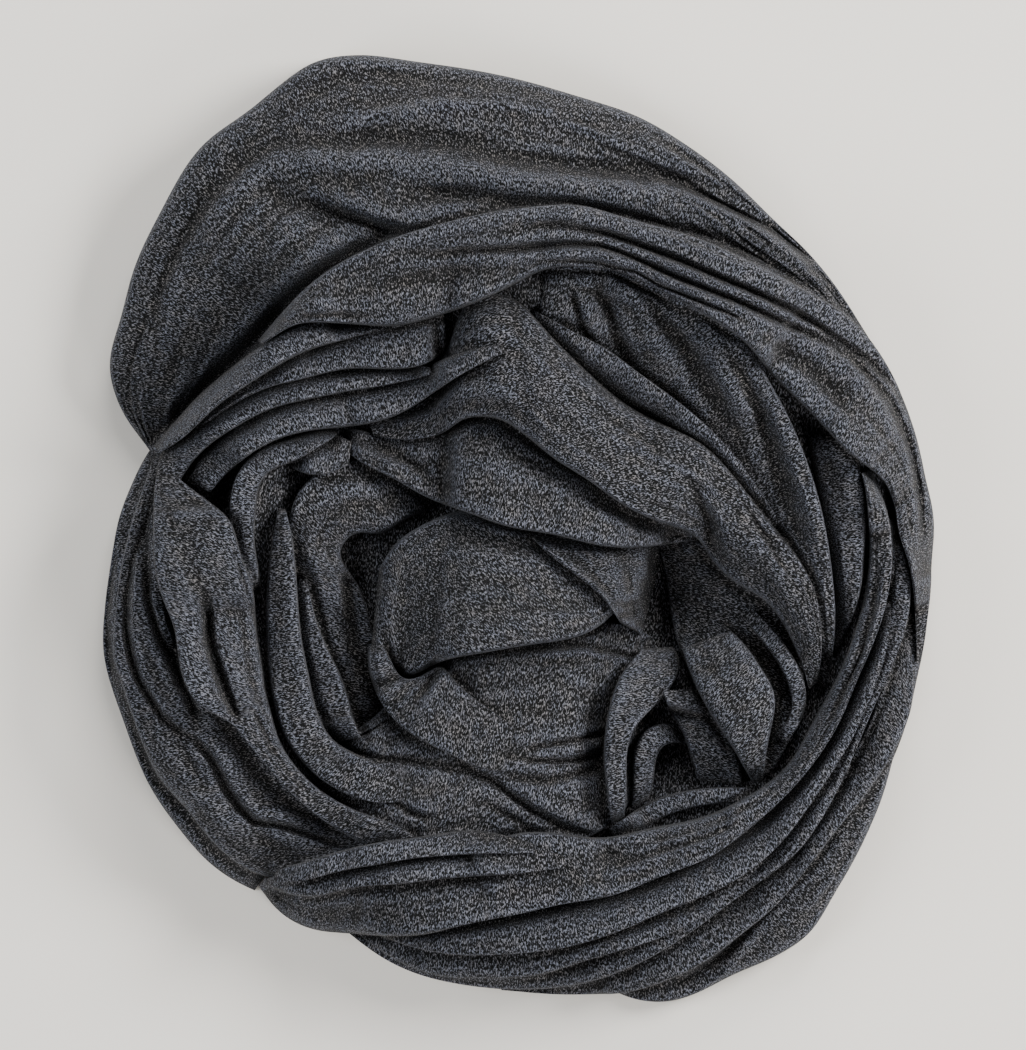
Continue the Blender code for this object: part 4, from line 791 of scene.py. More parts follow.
# Folds that lie highest on the ring, from inside the nest outwards
RING_FOLDS = [
    stretch("nest_drape", 0, STEP_IN, [
        (-92, 27, -88, 24, 1),
        (-84, 33, -83, 20.5, 5),
        (-73, 37, -73, 19.5, 6),
        (-66, 35, -67, 22, 3),
        (-61, 32, -62, 25, 0.5),
    ]),
    stretch("turned_fold", 0, ROLL, [
        (-67, 38.5, -67, 37, 0.3),
        (-78, 37.5, -76, 31, 5),
        (-88, 33, -86, 25, 7),
        (-100, 29, -95, 22, 8),
        (-108, 20, -99, 16, 10),
        (-110, 8, -100, 8, 10),
        (-109, -4, -101, -4, 10),
        (-106, -16, -99, -16, 7),
        (-103, -28, -98, -27, 2),
    ]),
    stretch("inner_arc", 0, STEP_IN, [
        (-127, 14, -119, 12, 2),
        (-121, 28, -112, 20, 8),
        (-110, 38, -101, 29, 10),
        (-97, 46, -91, 34.5, 11),
        (-82, 51, -77, 38, 11),
        (-66, 54, -62, 39.5, 11),
        (-50, 57, -48, 42.5, 11),
        (-37, 61, -36, 48.5, 9),
        (-24, 66, -23, 57, 6),
        (-12, 69, -11, 64, 3),
        (-3, 69.5, -2.5, 67.5, 0.5),
    ]),
    stretch("middle_arc", 0, STEP_IN, [
        (-138, 12, -130, 16, 2),
        (-137, 26, -125, 25, 7),
        (-128, 39, -117, 33, 9),
        (-115, 47, -107, 39, 9),
        (-102, 53, -96, 45, 9),
        (-88, 59, -85, 48.5, 8),
        (-72, 62, -70, 50.5, 7),
        (-56, 63, -54, 53, 6),
        (-46, 62.5, -44, 55.5, 3),
        (-38, 61.5, -37, 57, 1),
        (-31, 60.5, -30.5, 59, 0.2),
    ]),
    stretch("left_flap", -25, (0.45, 2.3, 2.1), [
        (-137, 22, -134, 23, 1),
        (-138.5, 12, -122, 13, 7),
        (-139.5, 0, -109, 3, 10),
        (-139, -10, -106.5, -10, 12),
        (-137.5, -20, -102, -20, 13),
        (-134, -29, -100, -30, 14),
        (-130, -38, -98.5, -41, 14),
        (-128.5, -48, -97.5, -48, 14),
        (-126.5, -58, -97, -55, 13),
        (-120, -68, -96.5, -62, 12),
        (-108, -73, -95, -68, 11),
        (-103.5, -80, -92.5, -78, 10),
        (-95, -91, -87, -87, 10),
        (-84, -103.5, -76, -98, 9),
        (-69, -115, -62, -106.5, 8),
        (-52, -122, -46, -113, 5),
        (-40, -125, -36, -119, 1),
    ], creases=[
        (2.6, 1.6, [(-119, -22, 0), (-118, -31.4, -7), (-117.4, -43, -10), (-114.5, -52.3, -11),
            (-111, -62.8, -11), (-108, -69, -9), (-106, -75, 0)]),
        (3.0, 0, [(-127, -26, 0), (-126, -40, 2), (-124, -55, 2.5), (-118, -66, 0)]),
        (5.0, 0, [(-110, -30, 0), (-108, -45, 2.5), (-104, -58, 2.5), (-101, -70, 2), (-96, -80, 0)]),
        (1.3, 0.6, [(-110, 0, 0), (-107, -12, -2.5), (-103.5, -22, -3), (-101, -32, -2.5), (-99, -44, 0)]),
        (3.0, 0, [(-132, 16, 0), (-128, 6, 1.5), (-124, -6, 0)]),
    ]),
    stretch("broad_arc", 0, STEP_IN, [
        (-128, 39, -124, 36, 1),
        (-112, 52, -108, 47, 5),
        (-98, 62, -94, 54, 7),
        (-84, 71, -80, 57, 9),
        (-66, 79, -62, 60, 10),
        (-54, 82, -51, 60.5, 9),
        (-45, 84, -42, 61, 7),
        (-38, 85.5, -35, 62, 4.5),
        (-32, 87, -30, 65, 2.2),
        (-27, 88, -25.5, 72, 0.3),
    ], creases=[
        (4.0, 0, [(-108, 54, 0), (-90, 62, -2), (-70, 68, -2.5), (-52, 70, -2), (-40, 70, 0)]),
    ]),
    stretch("outer_arc", 0, ROLL, [
        (-141, 29.5, -139, 27.5, 0.5),
        (-131, 40.5, -126, 35, 9),
        (-120, 52, -114, 46, 13),
        (-108, 62, -102, 54, 15),
        (-96, 71, -90, 62, 15),
        (-84, 78, -79, 68, 12),
        (-72, 80, -68, 71.5, 7),
        (-60, 80, -57, 74, 3),
        (-50, 79, -48, 75, 1),
        (-42, 79, -41, 77, 0.3),
    ]),
    stretch("top_wrap", -6, (0.45, 2.2, 2.2), [
        (-101, 69, -99, 68, 0.5),
        (-88, 83, -84, 77.5, 11),
        (-70, 99.5, -66, 77.5, 15),
        (-48, 110, -46, 76.5, 16),
        (-24, 116, -26, 82, 14),
        (0, 121, -6, 89.5, 13),
        (20, 122.5, 12, 98.5, 12),
        (40, 118, 36, 97.5, 11),
        (58, 113, 54, 89.5, 12),
        (78, 106, 70, 81, 13),
        (96, 98, 84, 72, 13),
        (113, 89, 95, 58, 12),
        (127, 79, 107, 46, 12),
        (138, 65, 118, 36, 12),
        (146, 50, 129, 26, 11),
        (152, 34, 138, 18, 10),
        (155, 18, 143, 8, 10),
        (158, 2, 145, -3, 9),
        (157.5, -10, 148, -12, 6),
        (157, -24, 150, -26, 4),
        (155, -40, 151, -41, 2),
        (152.5, -54, 151.5, -54, 0.5),
    ], creases=[
        (2.0, -1.8, [(4, 115.5, 0), (17, 114, -5), (33.4, 111.3, -8), (44.3, 107.5, -9), (58.5, 102, -10),
            (73.8, 95.5, -10), (88, 89.5, -10), (102.3, 83, -10), (113.2, 77, -9), (123, 70.3, -8),
            (134, 62, -6), (142.7, 54, -5), (147, 45, -4), (150.4, 32, 0)]),
        (2.0, -1.8, [(-44, 103, 0), (-30, 104, -4), (-20, 105, -6), (-3, 105.3, -8), (19, 107.5, -9),
            (30, 107, -9), (38, 104.6, -9), (46, 101.2, -10), (58.5, 95.5, -10), (69.5, 91, -10),
            (82.6, 85.7, -10), (95.7, 79.6, -9), (106.6, 75.3, -8), (117.6, 69.8, -7), (126.3, 63.8, -7),
            (134, 56, -6), (140.5, 47.4, -5), (145, 36.5, -4), (149, 27.7, 0)]),
        (1.7, -1.4, [(6, 101, 0), (18, 101.2, -4), (30, 100.5, -6), (44, 97, -7), (54.2, 91.5, -7),
            (65, 87, -7), (78, 82, -5), (88, 77, 0)]),
        (2.4, 0, [(-98, 73, 0), (-88, 80, 3), (-76, 84.5, 4), (-64, 85, 0)]),
        (2.0, 0, [(-92, 74, 0), (-80, 80, -3), (-66, 80.5, -3), (-50, 80, 0)]),
        (6.0, 0, [(-72, 91, 0), (-56, 94, -4), (-40, 96, -5), (-22, 98, -5), (-4, 100, 0)]),
        (1.6, 0, [(-60, 100, 0), (-44, 107.5, 1.5), (-24, 112.5, 2), (0, 117.5, 2), (18, 118.6, 2),
            (36, 114.5, 2), (56, 109, 2), (76, 101.5, 2), (94, 94, 2), (110, 86, 0)]),
        (4.0, 0, [(88, 73, 0), (100, 66, -4), (110, 60, -5), (118, 52, -4), (126, 42, 0)]),
        (1.4, -0.8, [(132, 64, 0), (141, 50, -3), (147, 36, -4), (151, 20, -4), (153, 6, -3), (154, -8, 0)]),
    ]),
    stretch("thin_band_outer", 0, STEP_OUT, [
        (-99, -134.5, -98, -133.5, 0.3),
        (-91, -138, -89, -131.5, 5),
        (-78, -139.5, -77, -129, 6),
        (-62, -135.5, -62, -125.5, 7),
        (-45, -134.5, -45, -122, 7),
        (-30, -132.5, -30, -120, 6.5),
        (-14, -131, -14, -119.5, 5),
        (-2, -130.5, -2, -120.5, 3),
        (9, -129.5, 9, -122, 1.5),
        (20, -128.5, 20, -125, 0.3),
    ]),
    stretch("thin_band_inner", 0, ROLL, [
        (-96, -134, -95, -131, 0.5),
        (-84, -134.5, -82, -126.5, 5),
        (-68, -130.5, -66, -121.5, 7),
        (-52, -127.5, -50, -118.5, 7),
        (-38, -124.5, -37, -116.5, 6),
        (-25, -123.5, -23, -114, 4),
        (-13, -123, -12, -114.5, 2),
        (-2, -123, -1, -117.5, 0.8),
        (8, -122.5, 8.5, -120.5, 0.2),
    ]),
]

LAYING_ORDER = NEST_BED + OUTER_SKIRTS + NEST_FOLDS + RING_FOLDS


def smooth_columns(rows, knots, places):
    """Each column of a table, read at any place on a smooth curve through its rows."""
    rows = np.asarray(rows, dtype=float)
    slopes = np.gradient(rows, knots, axis=0)
    at = np.clip(np.searchsorted(knots, places, side="right") - 1, 0, len(knots) - 2)
    span = (knots[at + 1] - knots[at])[:, None]
    t = ((places - knots[at]) / (knots[at + 1] - knots[at]))[:, None]
    start = rows[at] * (1 + 2 * t) * (1 - t) ** 2 + slopes[at] * span * t * (1 - t) ** 2
    end = rows[at + 1] * t ** 2 * (3 - 2 * t) - slopes[at + 1] * span * t ** 2 * (1 - t)
    return start + end


def blurred(values, passes):
    """Values along their first axis, evened out with their neighbours; each end stands for its own."""
    for _ in range(passes):
        padded = np.concatenate([values[:1], values, values[-1:]])
        beside = NEIGHBOUR_WEIGHT * (padded[:-2] + padded[2:])
        values = beside + (1 - 2 * NEIGHBOUR_WEIGHT) * padded[1:-1]
    return values


def blur_passes(reach, step):
    """How many passes even out values over a reach, for points a step apart."""
    return max(1, int(round(PASSES_FOR_A_STEP * (reach / step) ** 2)))


def evened(grid, reach, step_along, step_across):
    """A grid of values, evened out over a reach along both of its axes."""
    grid = blurred(grid, blur_passes(reach, step_along))
    return blurred(grid.T, blur_passes(reach, step_across)).T


def widened(values, cells):
    """The greatest value within so many points along the first axis."""
    result = values
    for shift in range(1, cells + 1):
        ahead = np.concatenate([values[shift:], np.repeat(values[-1:], shift, axis=0)])
        behind = np.concatenate([np.repeat(values[:1], shift, axis=0), values[:-shift]])
        result = np.maximum(result, np.maximum(ahead, behind))
    return result


class Pile:
    """The height of all the cloth laid so far, kept in the cells of a plan grid."""

    def __init__(self):
        columns = int(round(2 * GRID_HALF_WIDTH / GRID_CELL))
        rows = int(round(2 * GRID_HALF_LENGTH / GRID_CELL))
        self.top = np.zeros((rows, columns))

    def cells(self, x, y):
        """The row and the column of the cell that each point lies in."""
        row = np.floor((y + GRID_HALF_LENGTH) / GRID_CELL).astype(int)
        column = np.floor((x + GRID_HALF_WIDTH) / GRID_CELL).astype(int)
        return row, column

    def height(self, x, y):
        """The height of the pile at each point."""
        return self.top[self.cells(x, y)]

    def near_height(self, x, y):
        """The greatest height in the cells that lie within a short reach of a point."""
        highest = self.height(x, y)
        for along in (-NEAR_REACH, NEAR_REACH):
            for away in (-NEAR_REACH, NEAR_REACH):
                highest = np.maximum(highest, self.height(x + along, y + away))
        return highest

    def add(self, points):
        """Lay a surface of points on the pile."""
        length = np.linalg.norm(np.diff(points, axis=0), axis=2).max()
        width = np.linalg.norm(np.diff(points, axis=1), axis=2).max()
        for s in np.linspace(0, 1, int(np.ceil(length / SAMPLE_STEP)) + 1):
            along = (1 - s) * points[:-1] + s * points[1:]
            for t in np.linspace(0, 1, int(np.ceil(width / SAMPLE_STEP)) + 1):
                spot = (1 - t) * along[:, :-1] + t * along[:, 1:]
                np.maximum.at(self.top, self.cells(spot[..., 0], spot[..., 1]), spot[..., 2])


def crease_relief(x, y, line):
    """Height that a crease adds: a soft ridge, or a trough where its depth is below zero.

    A lip raises the cloth beside the line, on its left where it is above zero, else on its right.
    """
    nearest = np.full(x.shape, np.inf)
    depth = np.zeros(x.shape)
    side = np.zeros(x.shape)
    for start, end in zip(line.points[:-1], line.points[1:]):
        run_x = (end.x - start.x) * MILLIMETRE
        run_y = (end.y - start.y) * MILLIMETRE
        from_x = x - start.x * MILLIMETRE
        from_y = y - start.y * MILLIMETRE
        share = np.clip((from_x * run_x + from_y * run_y) / (run_x ** 2 + run_y ** 2), 0, 1)
        away_x = from_x - share * run_x
        away_y = from_y - share * run_y
        distance = np.hypot(away_x, away_y)
        closer = distance < nearest
        nearest = np.where(closer, distance, nearest)
        depth = np.where(closer, start.depth + share * (end.depth - start.depth), depth)
        side = np.where(closer, np.sign(run_x * away_y - run_y * away_x), side)
    width = line.width * MILLIMETRE
    relief = depth * MILLIMETRE * np.exp(-(nearest / width) ** 2)
    if line.lip:
        ahead = nearest * side * np.sign(line.lip)
        deepest = max(abs(point.depth) for point in line.points)
        share = np.abs(depth) / deepest
        swell = np.exp(-((ahead - LIP_PLACE * width) / (LIP_SPREAD * width)) ** 2)
        relief += share * abs(line.lip) * MILLIMETRE * swell
    return relief


def pressed(x, y, troughs):
    """How far the cloth laid later presses down a surface: zero or below it."""
    relief = np.zeros(x.shape)
    for trough in troughs:
        reach = TROUGH_REACH * trough.width
        line = np.array([(point.x, point.y) for point in trough.points])
        low = (line.min(axis=0) - reach) * MILLIMETRE
        high = (line.max(axis=0) + reach) * MILLIMETRE
        near = (x > low[0]) & (x < high[0]) & (y > low[1]) & (y < high[1])
        if near.any():
            relief[near] += np.minimum(crease_relief(x[near], y[near], trough), 0)
    return np.maximum(relief, -PRESS_LIMIT)


def rim_troughs(cloth):
    """The troughs that a stretch presses into the cloth below it, beside its two rims."""
    outer_line = []
    inner_line = []
    for row in cloth.sections:
        run_x = row.outer_x - row.inner_x
        run_y = row.outer_y - row.inner_y
        aside = PRESS_ASIDE / max(np.hypot(run_x, run_y), PRESS_ASIDE)
        depth = -min(PRESS_MOST, PRESS_SHARE * row.rise)
        outer_line.append(CreasePoint(row.outer_x + aside * run_x, row.outer_y + aside * run_y, depth))
        inner_line.append(CreasePoint(row.inner_x - aside * run_x, row.inner_y - aside * run_y, depth))
    sides = [(cloth.outer_round, outer_line), (cloth.inner_round, inner_line)]
    return [Crease(PRESS_WIDTH, 0, line) for roundness, line in sides if roundness != MELTS]


def troughs_over(name=None):
    """All troughs that press into a stretch, or into the hidden layers where no name is given."""
    names = [cloth.name for cloth in LAYING_ORDER]
    later = LAYING_ORDER[names.index(name) + 1:] if name else LAYING_ORDER
    troughs = [] if name else list(CREVICES)
    for cloth in later:
        troughs += cloth.creases + rim_troughs(cloth)
    return troughs


def flank(share, roundness):
    """Height of one side of an arch, for a share of the way down it; a side of no roundness melts."""
    if roundness == MELTS:
        return 1 - share ** 2 * (3 - 2 * share)
    edge = EDGE_SHARE if roundness > GENTLEST_EDGE else 0
    tight = (1 - share ** EDGE_ROUNDNESS) ** (1 / EDGE_ROUNDNESS)
    return edge * tight + (1 - edge) * (1 - share ** roundness) ** (1 / roundness)


def arch(across, cloth):
    """Height of a stretch over the line between its rims, from 0 at each rim to 1 at the crest."""
    to_outer = np.clip((cloth.peak - across) / cloth.peak, 0, 1)
    to_inner = np.clip((across - cloth.peak) / (1 - cloth.peak), 0, 1)
    outer_side = flank(to_outer, cloth.outer_round)
    inner_side = flank(to_inner, cloth.inner_round)
    return np.where(across < cloth.peak, outer_side, inner_side)


def wander(places, reach, generator):
    """A smooth random curve of about unit height, with bends about a reach apart."""
    count = int(np.ceil((places[-1] - places[0]) / reach)) + 3
    knots = places[0] + reach * (np.arange(count) - 1)
    rows = generator.uniform(-1, 1, (count, 1))
    return smooth_columns(rows, knots, places)[:, 0]


def plan_of(cloth, sizes, generator):
    """The plan of a stretch as a grid of points, with its rise and how far across each point lies."""
    rows = np.asarray(cloth.sections, dtype=float) * MILLIMETRE
    middles = 0.5 * (rows[:, OUTER] + rows[:, INNER])
    steps = np.linalg.norm(np.diff(middles, axis=0), axis=1)
    knots = np.concatenate([[0.0], np.cumsum(steps)])
    count = max(LEAST_STATIONS, int(np.ceil(knots[-1] / sizes.station_step)) + 1)
    stations = np.linspace(0, knots[-1], count)
    columns = smooth_columns(rows, knots, stations)
    columns = blurred(columns, blur_passes(EVEN_REACH, knots[-1] / (count - 1)))
    widths = np.hypot(*(columns[:, INNER] - columns[:, OUTER]).T)
    girth = np.hypot(widths.max(), rows[:, RISE].max())
    strips = max(LEAST_ACROSS, int(round(girth / sizes.across_step)))
    even = np.linspace(0, 1, strips + 1)
    across = RIM_CROWDING * (0.5 - 0.5 * np.cos(np.pi * even)) + (1 - RIM_CROWDING) * even
    sway = np.minimum(1, widths / SWAY_WIDTH) * sizes.rim_sway
    outward = (columns[:, OUTER] - columns[:, INNER]) / np.maximum(widths, SMALLEST_LENGTH)[:, None]
    outer = columns[:, OUTER] - outward * (sway * wander(stations, SWAY_REACH, generator))[:, None]
    inner = columns[:, INNER] + outward * (sway * wander(stations, SWAY_REACH, generator))[:, None]
    x = outer[:, 0:1] * (1 - across) + inner[:, 0:1] * across
    y = outer[:, 1:2] * (1 - across) + inner[:, 1:2] * across
    rise = np.clip(columns[:, RISE], 0, None)
    return x, y, rise, across, knots[-1] / (count - 1), widths.max() / strips


def drag_wrinkles(kind, rise, across, station_step, strip_step, generator):
    """Long soft ridges and troughs that run along a stretch, each uneven in length and depth."""
    rows, columns = rise.shape[0], across.shape[0]
    length, width = rows * station_step, columns * strip_step
    along = np.arange(rows)[:, None] * station_step
    out = across[None, :] * width
    relief = np.zeros((rows, columns))
    count = int(np.ceil(length * width / kind.area))
    for _ in range(count):
        middle = generator.uniform(0, length)
        reach = generator.uniform(*kind.reach)
        place = generator.uniform(*WRINKLE_PLACES) * width
        slant = generator.uniform(-kind.slant, kind.slant)
        spread = generator.uniform(*kind.spread)
        height = generator.uniform(LEAST_WRINKLE, 1) * generator.choice([-1, 1]) * kind.height
        run = (along - middle) / reach
        aside = (out - place - slant * (along - middle)) / spread
        relief += height * np.exp(-run ** 2 - aside ** 2)
    return relief


def thickness_share(x, y, rise, cloth):
    """The share of its thickness that the cloth has at each point: it thins at its rims and ends."""
    edges = [(np.s_[:, :1], cloth.outer_round == MELTS), (np.s_[:, -1:], cloth.inner_round == MELTS),
             (np.s_[:1], True), (np.s_[-1:], True)]
    share = MELT_THINNING + (1 - MELT_THINNING) * np.clip(rise / FULL_CLOTH_RISE, 0, 1)
    for edge, melts in edges:
        reach = MELT_REACH if melts else RIM_BEND
        least = MELT_THINNING if melts else RIM_THINNING
        distance = np.hypot(x - x[edge], y - y[edge])
        part = np.sin(0.5 * np.pi * np.clip(distance / reach, 0, 1))
        share = np.minimum(share, least + (1 - least) * part)
    return share


def rested(points, pile, station_step, strip_step, across):
    """A stretch's underside, lifted clear of the pile, and bridged softly over what lies below."""
    x, y = points[..., 0], points[..., 1]
    rest = pile.near_height(x, y)
    short = np.where(rest > 0, rest + LAYER_GAP, 0) - points[..., 2]
    along_cells = max(1, int(round(BRIDGE_REACH / station_step)))
    across_cells = max(1, int(round(BRIDGE_REACH / strip_step)))
    bridge = widened(widened(np.maximum(short, 0), along_cells).T, across_cells).T
    bridge = evened(bridge, BRIDGE_REACH / 2, station_step, strip_step)
    inside = np.minimum(1, np.minimum(across, 1 - across) / RIM_SHARE)
    lift = np.maximum(short, bridge * inside)
    return np.stack([x, y, points[..., 2] + np.maximum(lift, 0)], axis=2)


def facing_up(points):
    """How far each point of a surface faces up, from 0 on a steep side to 1 on a level."""
    normals = np.cross(np.gradient(points, axis=0), np.gradient(points, axis=1))
    return np.abs(normals[..., 2]) / np.maximum(np.linalg.norm(normals, axis=2), SMALLEST_LENGTH)


def rim_rest(x, y, pile, step, melts):
    """The height on which one rim of a stretch rests, smoothed along the rim."""
    cells = 0 if melts else max(1, int(round(RIM_REACH / step)))
    return blurred(widened(pile.near_height(x, y), cells), blur_passes(RIM_REACH / 2, step))[:, None]


def laid(cloth, pile, sizes, troughs):
    """The underside and the top of a stretch laid on the pile, as two grids of points."""
    generator = np.random.RandomState(zlib.crc32(cloth.name.encode()) % SEED_RANGE)
    x, y, rise, across, station_step, strip_step = plan_of(cloth, sizes, generator)
    outer_rest = rim_rest(x[:, 0], y[:, 0], pile, station_step, cloth.outer_round == MELTS)
    inner_rest = rim_rest(x[:, -1], y[:, -1], pile, station_step, cloth.inner_round == MELTS)
    full_rise = rise + np.minimum(PRESS_MOST * MILLIMETRE, PRESS_SHARE * rise)
    z = outer_rest * (1 - across) + inner_rest * across + full_rise * arch(across, cloth)
    inside = np.minimum(1, CREASE_ONSET * arch(across, cloth) ** 2)
    z = z + pressed(x, y, troughs) * inside
    for line in cloth.creases:
        z = z + crease_relief(x, y, line) * inside * sizes.crease_depth
    widths = np.hypot(x[:, :1] - x[:, -1:], y[:, :1] - y[:, -1:])
    full = np.minimum(1, rise / FULL_RISE) * np.minimum(1, widths / FULL_WIDTH) * inside
    full = full * sizes.wrinkle_height
    for kind in (BROAD_WRINKLES, FINE_WRINKLES):
        z = z + drag_wrinkles(kind, rise, across, station_step, strip_step, generator) * full
    points = np.stack([x, y, np.maximum(z, 0)], axis=2)
    underside = rested(points, pile, station_step, strip_step, across)
    top = underside.copy()
    thickness = sizes.cloth_thickness * thickness_share(x, y, rise, cloth)
    top[..., 2] += thickness / np.maximum(facing_up(underside), STEEPEST_FACING)
    pile.add(top)
    return underside, top


def crest_of(top):
    """How far each point stands over the cloth around it: above 0 on a fold, below 0 in a crease."""
    height = top[..., 2]
    step_along = np.linalg.norm(np.diff(top[..., 0:2], axis=0), axis=2).mean()
    step_across = np.linalg.norm(np.diff(top[..., 0:2], axis=1), axis=2).mean()
    around = evened(height, CREST_REACH, step_along, step_across)
    return np.clip((height - around) / CREST_HEIGHT, -1, 1)


def cloth_lengths(top, grain):
    """Lengths along and across the cloth at each point, turned to the grain of the knit."""
    along = np.linalg.norm(np.diff(top, axis=0), axis=2).mean(axis=1)
    across = np.linalg.norm(np.diff(top, axis=1), axis=2)
    u = np.concatenate([[0.0], np.cumsum(along)])[:, None]
    v = np.concatenate([np.zeros((len(top), 1)), np.cumsum(across, axis=1)], axis=1)
    v = v - 0.5 * v[:, -1:]
    u = np.broadcast_to(u, v.shape)
    turn = np.radians(grain)
    return np.cos(turn) * u + np.sin(turn) * v, np.cos(turn) * v - np.sin(turn) * u


def quads_of(numbers):
    """The quads of a grid of point numbers."""
    corners = (numbers[:-1, :-1], numbers[1:, :-1], numbers[1:, 1:], numbers[:-1, 1:])
    return np.stack([corner.ravel() for corner in corners], axis=1)


def shell_mesh(name, underside, top, grain):
    """A closed shell of cloth from two grids of points, with its UV map and its crests, the mask by which
    the material paints highlight on crests and shade in creases.
    """
    rows, columns = top.shape[:2]
    points = np.concatenate([top.reshape(-1, 3), underside.reshape(-1, 3)])
    upper = np.arange(rows * columns).reshape(rows, columns)
    rim = np.concatenate([upper[:, 0], upper[-1, 1:], upper[-2::-1, -1], upper[0, -2:0:-1]])
    rim_next = np.roll(rim, -1)
    below = rows * columns
    sides = np.stack([rim, rim + below, rim_next + below, rim_next], axis=1)
    faces = np.concatenate([quads_of(upper), quads_of(upper + below)[:, ::-1], sides])
    middle = top[rows // 2, columns // 2]
    along = top[rows // 2 + 1, columns // 2] - middle
    across = top[rows // 2, columns // 2 + 1] - middle
    if np.cross(along, across)[2] < 0:
        faces = faces[:, ::-1]
    mesh = bpy.data.meshes.new(name)
    mesh.vertices.add(len(points))
    mesh.vertices.foreach_set("co", points.ravel())
    mesh.loops.add(faces.size)
    mesh.loops.foreach_set("vertex_index", faces.ravel())
    mesh.polygons.add(len(faces))
    mesh.polygons.foreach_set("loop_start", np.arange(0, faces.size, 4))
    mesh.polygons.foreach_set("loop_total", np.full(len(faces), 4))
    mesh.update(calc_edges=True)
    u, v = cloth_lengths(top, grain)
    flat = np.stack([u.ravel(), v.ravel()], axis=1)
    flat = np.concatenate([flat, flat])
    layer = mesh.uv_layers.new(name="cloth_lengths")
    layer.data.foreach_set("uv", flat[faces.ravel()].ravel())
    # How far each point stands over the cloth around it, which the material turns into painted highlight on
    # crests and painted shade in creases
    crest = mesh.attributes.new("crest", "FLOAT", "POINT")
    values = crest_of(top).ravel()
    crest.data.foreach_set("value", np.concatenate([values, values]).astype(np.float32))
    mesh.shade_smooth()
    mesh.validate()
    return mesh


class Socket:
    """An output of a node, on which arithmetic adds Math nodes."""

    def __init__(self, tree, output):
        self.tree = tree
        self.output = output

    def math(self, operation, first, second):
        """A Math node on this output and a number or another output."""
        node = self.tree.nodes.new("ShaderNodeMath")
        node.operation = operation
        plug(self.tree, node.inputs[0], first)
        plug(self.tree, node.inputs[1], second)
        return Socket(self.tree, node.outputs[0])

    def __add__(self, other):
        return self.math("ADD", self, other)

    def __radd__(self, other):
        return self.math("ADD", other, self)

    def __sub__(self, other):
        return self.math("SUBTRACT", self, other)

    def __rsub__(self, other):
        return self.math("SUBTRACT", other, self)

    def __mul__(self, other):
        return self.math("MULTIPLY", self, other)

    def __rmul__(self, other):
        return self.math("MULTIPLY", other, self)

    def __rpow__(self, other):
        return self.math("POWER", other, self)

    def clamped(self, low, high):
        """This output, kept from low to high."""
        return self.math("MINIMUM", self.math("MAXIMUM", self, low), high)


def plug(tree, place, value):
    """Set a node's input to a number, a colour or a vector, or link a socket to it."""
    if isinstance(value, Socket):
        tree.links.new(value.output, place)
    else:
        place.default_value = value


class Finish:
    """A material whose nodes are added one at a time, by type, settings and inputs."""

    def __init__(self, name):
        self.material = bpy.data.materials.new(name)
        self.material.use_nodes = True
        self.tree = self.material.node_tree
        self.shader = self.tree.nodes["Principled BSDF"]

    def add(self, kind, settings=(), values=(), output=0):
        """A node of a type: its settings come first, then its inputs, by name or by number."""
        node = self.tree.nodes.new(kind)
        for name, value in dict(settings).items():
            setattr(node, name, value)
        for name, value in dict(values).items():
            plug(self.tree, node.inputs[name], value)
        return Socket(self.tree, node.outputs[output])

    def mixed(self, factor, first, second):
        """A colour from the first to the second, as the factor goes from 0 to 1."""
        node = self.tree.nodes.new("ShaderNodeMix")
        node.data_type = "RGBA"
        colour_inputs = [place for place in node.inputs if place.type == "RGBA"]
        plug(self.tree, node.inputs["Factor"], factor)
        plug(self.tree, colour_inputs[0], first)
        plug(self.tree, colour_inputs[1], second)
        outputs = [place for place in node.outputs if place.type == "RGBA"]
        return Socket(self.tree, outputs[0])

    def set(self, values):
        """Set or link inputs of the surface shader."""
        for name, value in values.items():
            plug(self.tree, self.shader.inputs[name], value)


